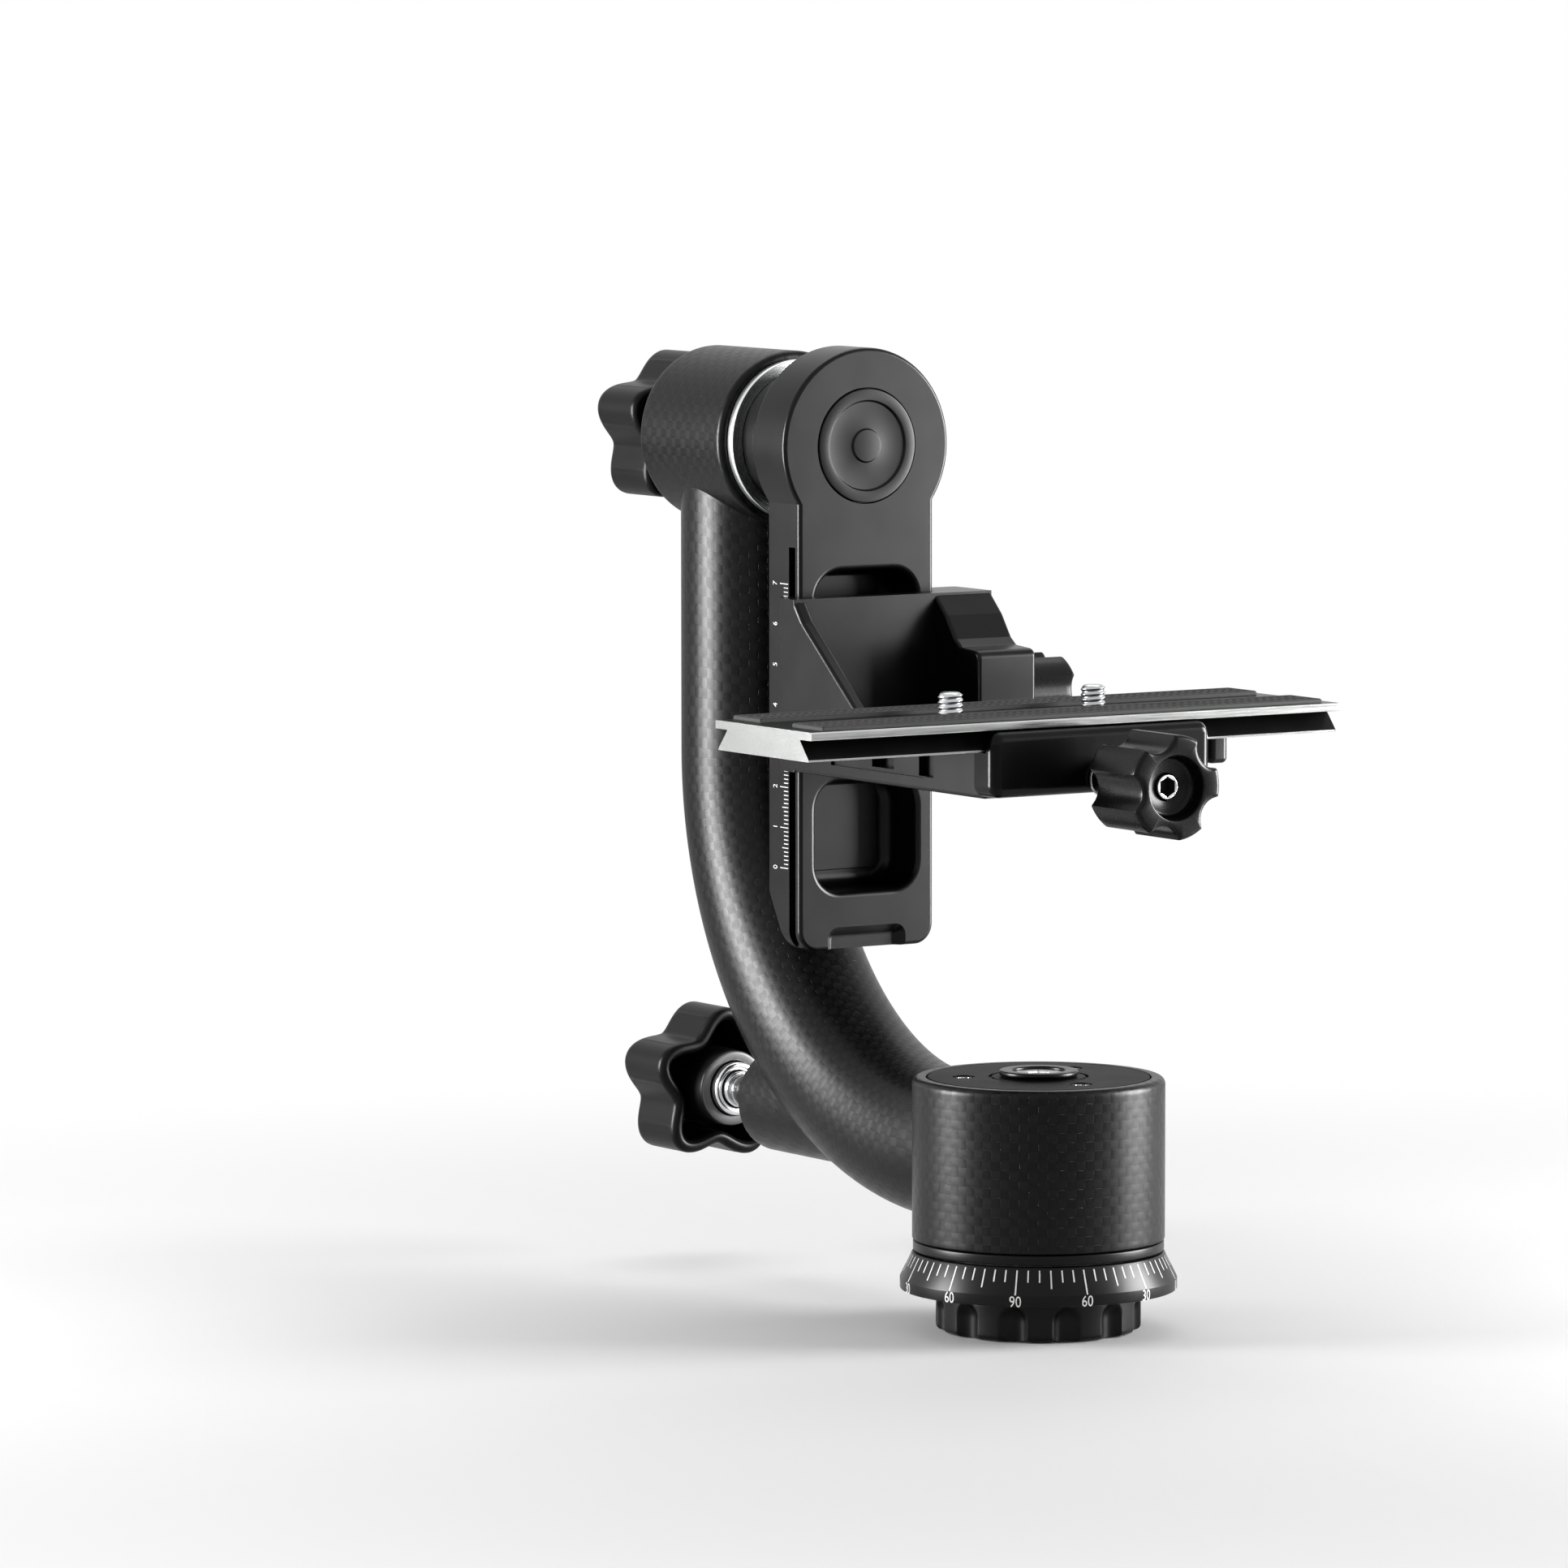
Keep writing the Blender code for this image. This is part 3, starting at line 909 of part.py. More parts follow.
def closed_loft(sections):
    """Loft whose last outline joins the first one, for a body with a hole right through."""
    bm = bmesh.new()
    rows = [[bm.verts.new((x, y, z)) for x, y in outline] for z, outline in sections]
    count = len(rows[0])
    for lower, upper in zip(rows, rows[1:] + rows[:1]):
        for i in range(count):
            j = (i + 1) % count
            bm.faces.new((lower[i], lower[j], upper[j], upper[i]))
    bmesh.ops.recalc_face_normals(bm, faces=bm.faces)
    return bm


def build_height_lock(knob):
    """Height lock knob behind the bracket, with the stud that presses the pad on the rail."""
    place = (HEIGHT_LOCK_X, 0, HEIGHT_LOCK_Z)
    start = CHEEK_OUTER + GAP
    finish(closed_loft(small_knob(CLAMP_NECK_RADIUS, HEIGHT_NECK_LENGTH)), "height_knob", KNOB_BLACK,
           knob, (HEIGHT_LOCK_X, start, HEIGHT_LOCK_Z), ALONG_Y)
    tip = start + HEIGHT_NECK_LENGTH + SMALL_KNOB_LENGTH - SMALL_KNOB_DISH_DEPTH
    finish(small_stud(GIB_END + GAP, tip + GAP * 2), "height_lock_stud", STEEL, knob, place, ALONG_Y)


def build_clamp(jaw_slide, knob):
    """Moving jaw on two guide pins, drawn in by the stud of the clamp knob."""
    lip_low = PLATE_TOP - PLATE_FLANGE - PLATE_NECK_DROP - PLATE_DOVETAIL_HEIGHT
    outline = [(JAW_INNER, JAW_BOTTOM), (JAW_OUTER, JAW_BOTTOM), (JAW_OUTER, JAW_TOP),
               (JAW_GROOVE - JAW_LIP_OVERLAP, JAW_TOP), (JAW_GROOVE, lip_low), (JAW_GROOVE, SHELF_TOP),
               (JAW_INNER, SHELF_TOP)]
    body = prism(outline, 1, CLAMP_CENTRE - JAW_HALF_LENGTH, CLAMP_CENTRE + JAW_HALF_LENGTH)
    soften(body, JAW_EDGE, lambda mid, way: mid.x > JAW_OUTER - GAP, 3)
    jaw = finish(body, "clamp_jaw", GLOSS_BLACK, jaw_slide)
    through = (JAW_INNER - OVERCUT, JAW_OUTER + OVERCUT)
    centre = (0, CLAMP_CENTRE, CLAMP_SCREW_HEIGHT)
    cut(jaw, disc(SMALL_STUD_RADIUS + GAP, *through, TINY_ROUND_STEPS), place=centre,
        turn=ALONG_X)
    pin_start = SHELF_END - GUIDE_PIN_DEPTH
    pin_end = JAW_OUTER - GUIDE_PIN_COVER
    for name, side in (("guide_pin_front", -1), ("guide_pin_rear", 1)):
        at = (0, CLAMP_CENTRE + side * GUIDE_PIN_SPREAD, CLAMP_SCREW_HEIGHT)
        cut(jaw, disc(GUIDE_PIN_RADIUS + GAP, through[0], pin_end + GAP, TINY_ROUND_STEPS), place=at,
            turn=ALONG_X)
        finish(disc(GUIDE_PIN_RADIUS, pin_start, pin_end, TINY_ROUND_STEPS), name, STEEL, jaw_slide, at,
               ALONG_X)

    washer_low = JAW_OUTER + GAP
    finish(ring(SMALL_STUD_RADIUS + GAP, WASHER_RADIUS, washer_low, washer_low + WASHER_THICKNESS,
                SMALL_ROUND_STEPS), "clamp_washer", STEEL, knob, centre, ALONG_X)
    finish(closed_loft(small_knob(CLAMP_NECK_RADIUS, CLAMP_NECK_LENGTH)), "clamp_knob", KNOB_BLACK, knob,
           (CLAMP_NECK_START, CLAMP_CENTRE, CLAMP_SCREW_HEIGHT), ALONG_X)
    tip = CLAMP_KNOB_FACE - SMALL_KNOB_DISH_DEPTH + GAP * 2
    finish(small_stud(SHELF_END - CLAMP_SCREW_DEPTH, tip), "clamp_stud", CHROME, knob, centre, ALONG_X)


def build_plate(plate):
    """Long quick release plate with its rubber strips and stop."""
    flange_low = PLATE_TOP - PLATE_FLANGE
    neck = flange_low - PLATE_NECK_DROP
    foot = PLATE_BOTTOM + PLATE_FOOT_HEIGHT
    right = [(PLATE_FOOT_HALF_WIDTH, PLATE_BOTTOM), (PLATE_FOOT_HALF_WIDTH, foot),
             (PLATE_NECK_HALF_WIDTH, neck), (PLATE_NECK_HALF_WIDTH, flange_low),
             (PLATE_HALF_WIDTH, flange_low), (PLATE_HALF_WIDTH, PLATE_TOP)]
    outline = [(PLATE_CENTRE + x, z) for x, z in right]
    outline += [(PLATE_CENTRE - x, z) for x, z in reversed(right)]
    body = finish(prism(outline, 1, -PLATE_FRONT, PLATE_REAR), "qr_plate", BARE_ALUMINIUM, plate,
                  smooth=False)
    middle = (SLOT_REAR - SLOT_FRONT) / 2
    half = (SLOT_REAR + SLOT_FRONT) / 2
    for width, low, high in ((SLOT_HALF_WIDTH, PLATE_BOTTOM - OVERCUT, PLATE_TOP + OVERCUT),
                             (CHANNEL_HALF_WIDTH, PLATE_BOTTOM - OVERCUT, PLATE_BOTTOM + CHANNEL_DEPTH)):
        grown = half + (width - SLOT_HALF_WIDTH)
        slot = rounded(width, middle - grown, middle + grown, width * 0.999, 4, PLATE_CENTRE)
        cut(body, prism(slot, 2, low, high))
    shank_top = PLATE_TOP - PLATE_FLANGE
    stop_centre = (PLATE_CENTRE, STOP_FRONT + STOP_LENGTH / 2, 0)
    cut(body, disc(STOP_SHANK + GAP, PLATE_BOTTOM - OVERCUT, shank_top, TINY_ROUND_STEPS), place=stop_centre)
    for name, side in (("rubber_strip_left", -1), ("rubber_strip_right", 1)):
        outside = PLATE_CENTRE + side * (PLATE_HALF_WIDTH - RUBBER_EDGE_MARGIN)
        inside = outside - side * RUBBER_WIDTH
        finish(block((min(inside, outside), -PLATE_FRONT + RUBBER_MARGIN, PLATE_TOP + GAP / 10),
                     (max(inside, outside), PLATE_REAR - RUBBER_MARGIN, PLATE_TOP + RUBBER_THICKNESS)),
               name, RUBBER, plate, smooth=False)
    head_top = PLATE_BOTTOM - GAP
    stop = block((PLATE_CENTRE - STOP_HALF_WIDTH, STOP_FRONT, head_top - STOP_HEIGHT),
                 (PLATE_CENTRE + STOP_HALF_WIDTH, STOP_FRONT + STOP_LENGTH, head_top))
    soften(stop, STOP_EDGE, lambda mid, way: abs(way.z) > 0.9)
    stop = finish(stop, "plate_stop", GLOSS_BLACK, plate)
    cut(stop, disc(STOP_SHANK, head_top - GAP, shank_top - GAP, TINY_ROUND_STEPS), "UNION", stop_centre)


def camera_screw(name, slide, y):
    """Captive camera screw whose head runs in the channel under the plate."""
    seat = PLATE_BOTTOM + CHANNEL_DEPTH - GAP
    top = PLATE_TOP + RUBBER_THICKNESS + CAMERA_SCREW_REACH
    profile = [(0, PLATE_BOTTOM), (CAMERA_SCREW_HEAD, PLATE_BOTTOM), (CAMERA_SCREW_HEAD, seat),
               (CAMERA_SCREW_RADIUS, seat), (CAMERA_SCREW_RADIUS, top - CAMERA_SCREW_RADIUS / 6),
               (CAMERA_SCREW_RADIUS * 5 / 6, top), (0, top)]
    finish(turned(profile, SMALL_ROUND_STEPS), name, STEEL, slide, (PLATE_CENTRE, y, 0))


def main():
    for item in list(bpy.data.objects):
        bpy.data.objects.remove(item, do_unlink=True)

    pan = axis_empty("pan_axis", (0, 0, DRUM_BOTTOM))
    pan_knob = axis_empty("pan_knob_axis", (PAN_KNOB_HUB, 0, PAN_LOCK_HEIGHT), pan)
    tilt_knob = axis_empty("tilt_knob_axis", (TILT_KNOB_HUB, 0, TILT_HEIGHT), pan)
    tilt = axis_empty("tilt_axis", (-TUBE_OFFSET, 0, TILT_HEIGHT), pan)
    height = axis_empty("height_slide", (BRACKET_BACK, 0, BRACKET_BOTTOM), tilt)
    height_knob = axis_empty("height_knob_axis", (HEIGHT_LOCK_X, CHEEK_OUTER, HEIGHT_LOCK_Z), height)
    jaw = axis_empty("clamp_jaw_slide", (JAW_INNER, CLAMP_CENTRE, CLAMP_SCREW_HEIGHT), height)
    clamp_knob = axis_empty("clamp_knob_axis", (CLAMP_NECK_START, CLAMP_CENTRE, CLAMP_SCREW_HEIGHT), jaw)
    plate = axis_empty("plate_slide", (PLATE_CENTRE, 0, PLATE_BOTTOM), height)
    front_screw = axis_empty("front_camera_screw_slide", (PLATE_CENTRE, -CAMERA_SCREW_FRONT, PLATE_TOP),
                             plate)
    rear_screw = axis_empty("rear_camera_screw_slide", (PLATE_CENTRE, CAMERA_SCREW_REAR, PLATE_TOP), plate)

    build_base()
    build_drum(pan)
    build_tube(pan)
    build_barrel(pan)
    build_pan_lock(pan_knob)
    build_tilt_lock(pan, tilt_knob)
    build_swing_arm(tilt)
    build_bracket(height)
    build_height_lock(height_knob)
    build_clamp(jaw, clamp_knob)
    build_plate(plate)
    camera_screw("camera_screw_front", front_screw, -CAMERA_SCREW_FRONT)
    camera_screw("camera_screw_rear", rear_screw, CAMERA_SCREW_REAR)


main()
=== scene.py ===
import math
import bmesh
import bpy
import numpy as np
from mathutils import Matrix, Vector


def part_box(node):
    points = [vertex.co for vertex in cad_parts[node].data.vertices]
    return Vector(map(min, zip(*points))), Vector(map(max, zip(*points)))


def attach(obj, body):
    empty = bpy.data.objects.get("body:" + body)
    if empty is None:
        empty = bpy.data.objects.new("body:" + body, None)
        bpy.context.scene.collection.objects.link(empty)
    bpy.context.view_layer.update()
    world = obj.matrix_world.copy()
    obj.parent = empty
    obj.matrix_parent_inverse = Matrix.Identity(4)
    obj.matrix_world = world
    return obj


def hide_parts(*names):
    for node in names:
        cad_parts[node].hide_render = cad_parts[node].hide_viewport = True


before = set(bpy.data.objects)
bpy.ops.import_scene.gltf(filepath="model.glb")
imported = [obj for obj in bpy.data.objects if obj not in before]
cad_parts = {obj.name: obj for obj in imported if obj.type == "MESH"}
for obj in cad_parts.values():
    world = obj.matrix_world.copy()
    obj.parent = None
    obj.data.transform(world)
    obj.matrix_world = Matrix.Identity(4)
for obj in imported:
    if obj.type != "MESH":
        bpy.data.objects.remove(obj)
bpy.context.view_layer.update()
mm = 0.001      # every length below is in millimetres
panHeight = 43.3
tiltHeight = 208.5
tiltAxis = (0, 0, tiltHeight)
clampY, clampZ = 2.1, 134.3
clampAxis = (0, clampY, clampZ)
pinReach = 17.0      # guide pins to either side of the clamp screw
lockX, lockZ = -76.45, 143.1
heightAxis = (lockX, 0, lockZ)
print("frame loaded:", len(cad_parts), "nodes")


# shapes as whole arrays, in millimetres

def arcPoints(centreA, centreB, radius, start, end, steps):
    # arc: centre + radius * (cos t, sin t), t in degrees from start to end
    turn = np.radians(np.linspace(start, end, steps + 1))
    return np.stack([centreA + radius * np.cos(turn), centreB + radius * np.sin(turn)], axis=1)


def softCorners(points, radii, steps=6):
    # each corner becomes an arc that leaves one side and joins the next at radius / tan(half the corner's
    # angle), cut back to 0.49 of the shorter side
    points = np.asarray(points, float)
    radii = np.broadcast_to(np.asarray(radii, float), len(points))
    before = np.roll(points, 1, axis=0) - points
    after = np.roll(points, -1, axis=0) - points
    lengthBefore = np.linalg.norm(before, axis=1)
    lengthAfter = np.linalg.norm(after, axis=1)
    before = before / lengthBefore[:, None]
    after = after / lengthAfter[:, None]
    half = np.arccos(np.clip((before * after).sum(1), -0.99999, 0.99999)) / 2
    reach = np.minimum(np.maximum(radii, 1e-4) / np.tan(half), 0.49 * np.minimum(lengthBefore, lengthAfter))
    fitted = reach * np.tan(half)
    middle = (before + after) / (2 * np.cos(half))[:, None]
    centre = points + middle * (fitted / np.sin(half))[:, None]
    start = points + before * reach[:, None] - centre
    end = points + after * reach[:, None] - centre
    turn = (math.pi - 2 * half)[:, None]
    share = np.linspace(0, 1, steps + 1)[None, :]
    first = np.sin((1 - share) * turn) / np.sin(turn)
    second = np.sin(share * turn) / np.sin(turn)
    arcs = centre[:, None] + first[..., None] * start[:, None] + second[..., None] * end[:, None]
    return arcs.reshape(-1, 2)


def spaced(points, step, closed=False):
    # the same line with points about one step apart: straight interpolation over its running length
    points = np.asarray(points, float)
    line = np.vstack([points, points[:1]]) if closed else points
    running = np.concatenate([[0], np.cumsum(np.linalg.norm(np.diff(line, axis=0), axis=1))])
    count = max(2, int(round(running[-1] / step)))
    at = np.unique(np.concatenate([running, np.linspace(0, running[-1], count + 1)]).round(6))
    made = np.stack([np.interp(at, running, line[:, k]) for k in range(line.shape[1])], axis=1)
    return made[:-1] if closed else made


def offsetOutline(outline, amount):
    # closed outline moved inwards along its normals: p + n * amount, n square to the neighbours' line;
    # amount stays under the smallest outer radius
    along = np.roll(outline, -1, axis=0) - np.roll(outline, 1, axis=0)
    along = along / np.linalg.norm(along, axis=1)[:, None]
    inward = np.stack([-along[:, 1], along[:, 0]], axis=1)
    side = np.sign((inward * (outline.mean(0) - outline)).sum())
    return outline + side * inward * amount


def smoothLower(a, b, blend):
    # smaller of two heights with a rounded change-over, blend wide
    near = np.maximum(blend - np.abs(a - b), 0) / blend
    return np.minimum(a, b) - near * near * blend / 4


def surface(name, grid, finish, closed=False, cells=None, sharp=38):
    # skin over grid[row, column]: columns run round, rows run along; closed joins the last row to the first,
    # otherwise both ends get a lid. cells = (round, along) counts the cloth's cells over the grid
    rows, columns = grid.shape[:2]
    index = np.arange(rows * columns).reshape(rows, columns)
    beside = np.roll(index, -1, axis=1)
    low = index if closed else index[:-1]
    lowBeside = beside if closed else beside[:-1]
    high = np.roll(index, -1, axis=0) if closed else index[1:]
    highBeside = np.roll(beside, -1, axis=0) if closed else beside[1:]
    quads = np.stack([low, lowBeside, highBeside, high], axis=-1).reshape(-1, 4)
    lids = [] if closed else [index[0][::-1], index[-1]]
    corners = np.concatenate([quads.ravel()] + lids)
    starts = np.concatenate([np.arange(len(quads)) * 4, len(quads) * 4 + columns * np.arange(len(lids))])
    mesh = bpy.data.meshes.new(name)
    mesh.vertices.add(rows * columns)
    mesh.vertices.foreach_set("co", (grid * mm).astype(np.float32).ravel())
    mesh.loops.add(len(corners))
    mesh.loops.foreach_set("vertex_index", corners.astype(np.int32))
    mesh.polygons.add(len(starts))
    mesh.polygons.foreach_set("loop_start", starts.astype(np.int32))
    mesh.update(calc_edges=True)
    if cells is not None:
        acrossCells, alongCells = cells
        alongCells = np.broadcast_to(alongCells, (rows,))
        row = np.repeat(np.arange(len(low)), columns)
        column = np.tile(np.arange(columns), len(low))
        rowPairs = np.stack([row, row, row + 1, row + 1], axis=1) % rows
        columnPairs = np.stack([column, column + 1, column + 1, column], axis=1)
        cloth = np.stack([acrossCells * columnPairs / columns, alongCells[rowPairs]], axis=-1).reshape(-1, 2)
        lidCloth = np.zeros((len(corners) - len(cloth), 2))
        layer = mesh.uv_layers.new(name="cloth")
        layer.data.foreach_set("uv", np.vstack([cloth, lidCloth]).astype(np.float32).ravel())
    return tidied(name, mesh, finish, sharp)


def tidied(name, mesh, finish, sharp=38):
    # doubles merged, poles closed, faces turned outwards, edges over the angle kept sharp
    work = bmesh.new()
    work.from_mesh(mesh)
    bmesh.ops.remove_doubles(work, verts=work.verts, dist=2e-6)
    bmesh.ops.recalc_face_normals(work, faces=work.faces)
    work.to_mesh(mesh)
    work.free()
    mesh.polygons.foreach_set("use_smooth", np.ones(len(mesh.polygons), bool))
    mesh.set_sharp_from_angle(angle=math.radians(sharp))
    piece = bpy.data.objects.new(name, mesh)
    bpy.context.scene.collection.objects.link(piece)
    if finish is not None:
        mesh.materials.append(finish)
    return piece


ways = {     # side, rise and along vectors of a turned piece
    "up": ((1, 0, 0), (0, 1, 0), (0, 0, 1)),
    "right": ((0, 1, 0), (0, 0, 1), (1, 0, 0)),
    "left": ((0, 1, 0), (0, 0, 1), (-1, 0, 0)),
    "back": ((1, 0, 0), (0, 0, 1), (0, 1, 0)),
}


def around(radii, heights, centre, way, columns=96, turned=0.0):
    # turned grid: centre + r cos t * side + r sin t * rise + h * along, r and h by row or by row and column
    side, rise, along = (np.array(v, float) for v in ways[way])
    radii = np.asarray(radii, float)
    heights = np.asarray(heights, float)
    radii = radii[:, None] if radii.ndim == 1 else radii
    heights = heights[:, None] if heights.ndim == 1 else heights
    columns = max(radii.shape[1], heights.shape[1]) if max(radii.shape[1], heights.shape[1]) > 1 else columns
    turn = turned + np.arange(columns) * math.tau / columns
    radii, heights = np.broadcast_arrays(radii + 0 * turn, heights + 0 * turn)
    flat = radii * np.cos(turn), radii * np.sin(turn), heights
    return np.array(centre, float) + sum(part[..., None] * v for part, v in zip(flat, (side, rise, along)))


def turnedPiece(name, profile, centre, way, finish, columns=96, corner=0.3, closed=False, cells=None):
    # lathe piece: profile of (radius, height) with soft corners, carried once round the axis
    profile = np.asarray(profile, float)
    if closed:
        line = softCorners(profile, corner, 4)
    else:
        loop = np.vstack([profile, [[-5, profile[-1, 1]], [-5, profile[0, 1]]]])
        radii = np.array([0] + [corner] * (len(profile) - 2) + [0, 0, 0], float)
        line = softCorners(loop, radii, 4)[:-10]
        line = line[4:]
    grid = around(line[:, 0], line[:, 1], centre, way, columns)
    if cells is not None:
        running = np.concatenate([[0], np.cumsum(np.linalg.norm(np.diff(line, axis=0), axis=1))])
        cells = (cells[0], running / cells[1])
    return surface(name, grid, finish, closed, cells)


def ringProfile(inner, outer, low, high):
    # closed section of a plain ring
    return [(inner, low), (outer, low), (outer, high), (inner, high)]


def discProfile(radius, low, high):
    # section of a plain disc, from the axis out and back
    return [(0, low), (radius, low), (radius, high), (0, high)]


def prismGrid(outline, axis, levels, insets=None):
    # outline carried along one axis: row k lies at levels[k], moved in by insets[k]
    insets = np.zeros(len(levels)) if insets is None else insets
    rows = []
    for level, amount in zip(levels, insets):
        flat = offsetOutline(np.asarray(outline, float), amount) if amount else np.asarray(outline, float)
        rows.append(np.insert(flat, axis, level, axis=1))
    return np.stack(rows)


def prismPiece(name, outline, axis, low, high, finish=None, edge=0.0):
    # straight prism with both ends rounded: inset = edge - sqrt(edge^2 - (edge - distance to the end)^2)
    levels = np.array([low, high], float)
    if edge:
        step = edge * (1 - np.cos(np.radians(np.linspace(0, 90, 6))))
        levels = np.concatenate([low + step, high - step[::-1]])
    near = np.minimum(levels - low, high - levels)
    insets = edge - np.sqrt(np.maximum(edge ** 2 - np.maximum(edge - near, 0) ** 2, 0))
    return surface(name, prismGrid(outline, axis, levels, insets), finish)


def pillowPiece(name, low, high, axis, levels, insets, corner, finish=None):
    # rectangle from low to high carried along one axis: each row shrinks by its inset and keeps round corners
    rows = []
    for level, amount in zip(levels, insets):
        box = box2(low[0] + amount, low[1] + amount, high[0] - amount, high[1] - amount)
        rows.append(np.insert(softCorners(box, max(corner - amount, 0.5), 8), axis, level, axis=1))
    return surface(name, np.stack(rows), finish)


def insetCorners(points, radii, amount):
    # sides moved in by amount: p + (n1 + n2) * amount / (1 + n1 . n2); outer corners lose amount in radius,
    # inner ones gain it
    points = np.asarray(points, float)
    before = points - np.roll(points, 1, axis=0)
    after = np.roll(points, -1, axis=0) - points
    before = before / np.linalg.norm(before, axis=1)[:, None]
    after = after / np.linalg.norm(after, axis=1)[:, None]
    following = np.roll(points, -1, axis=0)
    way = np.sign((points[:, 0] * following[:, 1] - points[:, 1] * following[:, 0]).sum())
    firstNormal = way * np.stack([-before[:, 1], before[:, 0]], axis=1)
    secondNormal = way * np.stack([-after[:, 1], after[:, 0]], axis=1)
    share = amount / (1 + (firstNormal * secondNormal).sum(1))
    bend = way * (before[:, 0] * after[:, 1] - before[:, 1] * after[:, 0])
    radii = np.maximum(np.asarray(radii, float) - np.sign(bend) * amount, 0.05)
    return softCorners(points + (firstNormal + secondNormal) * share[:, None], radii)


def cornerPrism(name, points, radii, axis, low, high, edge):
    # straight prism with round corners whose ends are rounded too: inset and depth follow a quarter circle
    insets, depths = quarter(edge)
    insets = np.concatenate([insets, insets[::-1]])
    levels = np.concatenate([low + depths, high - depths[::-1]])
    rows = [np.insert(insetCorners(points, radii, amount), axis, level, axis=1)
            for level, amount in zip(levels, insets)]
    return surface(name, np.stack(rows), None)


def quarter(edge, steps=6):
    # insets and depths of a rounded rim, from its flat face to its side
    angle = np.radians(np.linspace(0, 90, steps + 1))
    return edge * (1 - np.sin(angle)), edge * (1 - np.cos(angle))


def box2(lowA, lowB, highA, highB):
    # four corners of a rectangle
    return [(lowA, lowB), (highA, lowB), (highA, highB), (lowA, highB)]


def rodPiece(name, centre, way, radius, low, high, columns=48):
    # plain cylinder, used as a tool for cuts and joins
    return surface(name, around([radius, radius], [low, high], centre, way, columns), None)


def threeRound(k, radius):
    # place of the k-th of three screws on a circle about the pan axis
    return radius * math.cos(math.tau * k / 3), radius * math.sin(math.tau * k / 3), 0


def nodeSpan(name, axis):
    # lowest and highest place of a CAD node along one axis
    low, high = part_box(name)
    return low[axis] / mm, high[axis] / mm


def cut(tool):
    # a tool for carve that takes away
    return "DIFFERENCE", tool


def join(tool):
    # a tool for carve that adds
    return "UNION", tool


def settle(piece):
    # what the modifiers give becomes the piece's own mesh
    graph = bpy.context.evaluated_depsgraph_get()
    made = bpy.data.meshes.new_from_object(piece.evaluated_get(graph), preserve_all_data_layers=True,
                                           depsgraph=graph)
    before = piece.data
    piece.modifiers.clear()
    piece.data = made
    bpy.data.meshes.remove(before)
    return piece


def carve(piece, tools):
    # exact cuts and joins in turn, each tool given as (operation, object)
    for operation, tool in tools:
        change = piece.modifiers.new(tool.name, "BOOLEAN")
        change.operation = operation
        change.solver = "EXACT"
        change.object = tool
    settle(piece)
    for operation, tool in tools:
        bpy.data.objects.remove(tool, do_unlink=True)
    return piece


flatAngle, edgeAngle = math.radians(0.6), math.radians(30)


def cast(piece, edge, segments=4, finish=None):
    # cast part: faces under flatAngle apart merge, every edge over edgeAngle gets a soft radius
    work = bmesh.new()
    work.from_mesh(piece.data)
    bmesh.ops.remove_doubles(work, verts=work.verts, dist=5e-6)
    bmesh.ops.dissolve_limit(work, angle_limit=flatAngle, verts=work.verts, edges=work.edges)
    work.to_mesh(piece.data)
    work.free()
    bevel = piece.modifiers.new("softEdges", "BEVEL")
    bevel.width = edge * mm
    bevel.segments = segments
    bevel.limit_method = "ANGLE"
    bevel.angle_limit = edgeAngle
    bevel.miter_outer = "MITER_ARC"
    bevel.use_clamp_overlap = True
    weighted = piece.modifiers.new("flatFaces", "WEIGHTED_NORMAL")
    weighted.weight = 100
    weighted.keep_sharp = True
    piece.data.polygons.foreach_set("use_smooth", np.ones(len(piece.data.polygons), bool))
    settle(piece)
    if finish is not None:
        piece.data.materials.clear()
        piece.data.materials.append(finish)
    return piece


def fit(piece, body, slot, *nodes):
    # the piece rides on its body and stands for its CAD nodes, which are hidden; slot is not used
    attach(piece, body)
    if nodes:
        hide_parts(*nodes)
    return piece


# finishes

def addNode(tree, kind, inputs=None, **settings):
    # one shader node: sockets are linked, other inputs are set as values
    node = tree.nodes.new(kind)
    for key, value in settings.items():
        setattr(node, key, value)
    for key, value in (inputs or {}).items():
        if isinstance(value, bpy.types.NodeSocket):
            tree.links.new(value, node.inputs[key])
        else:
            node.inputs[key].default_value = value
    return node


def mathOut(tree, operation, a, b=0.0, c=0.0):
    # operation of a, b and, where it takes three, c
    return addNode(tree, "ShaderNodeMath", {0: a, 1: b, 2: c}, operation=operation).outputs[0]


def freshFinish(name, metallic, specular=0.5):
    # new material with its shader, uniform values set on the sockets themselves
    made = bpy.data.materials.new(name)
    made.use_nodes = True
    shader = made.node_tree.nodes["Principled BSDF"]
    shader.inputs["Metallic"].default_value = metallic
    shader.inputs["Specular IOR Level"].default_value = specular
    return made, made.node_tree, shader


def plus(tree, a, b):
    # a + b
    return mathOut(tree, "ADD", a, b)


def times(tree, a, b):
    # a * b
    return mathOut(tree, "MULTIPLY", a, b)


def objectPlace(tree):
    # place in the piece's own frame, in metres
    return addNode(tree, "ShaderNodeTexCoord").outputs["Object"]


def paint(tree, shader, colour, roughness, height):
    # colour and roughness go to the shader, height in millimetres tilts the shading normal
    tree.links.new(colour, shader.inputs["Base Color"])
    tree.links.new(roughness, shader.inputs["Roughness"])
    bump = addNode(tree, "ShaderNodeBump", {"Height": height, "Strength": 1.0, "Distance": mm})
    tree.links.new(bump.outputs[0], shader.inputs["Normal"])


def grey(tone):
    # red = green = blue = tone
    return (tone, tone, tone)


def ramp(tree, factor, low, high):
    # straight change from low to high as factor runs from 0 to 1
    return addNode(tree, "ShaderNodeMapRange", {"Value": factor, "To Min": low, "To Max": high}).outputs[0]


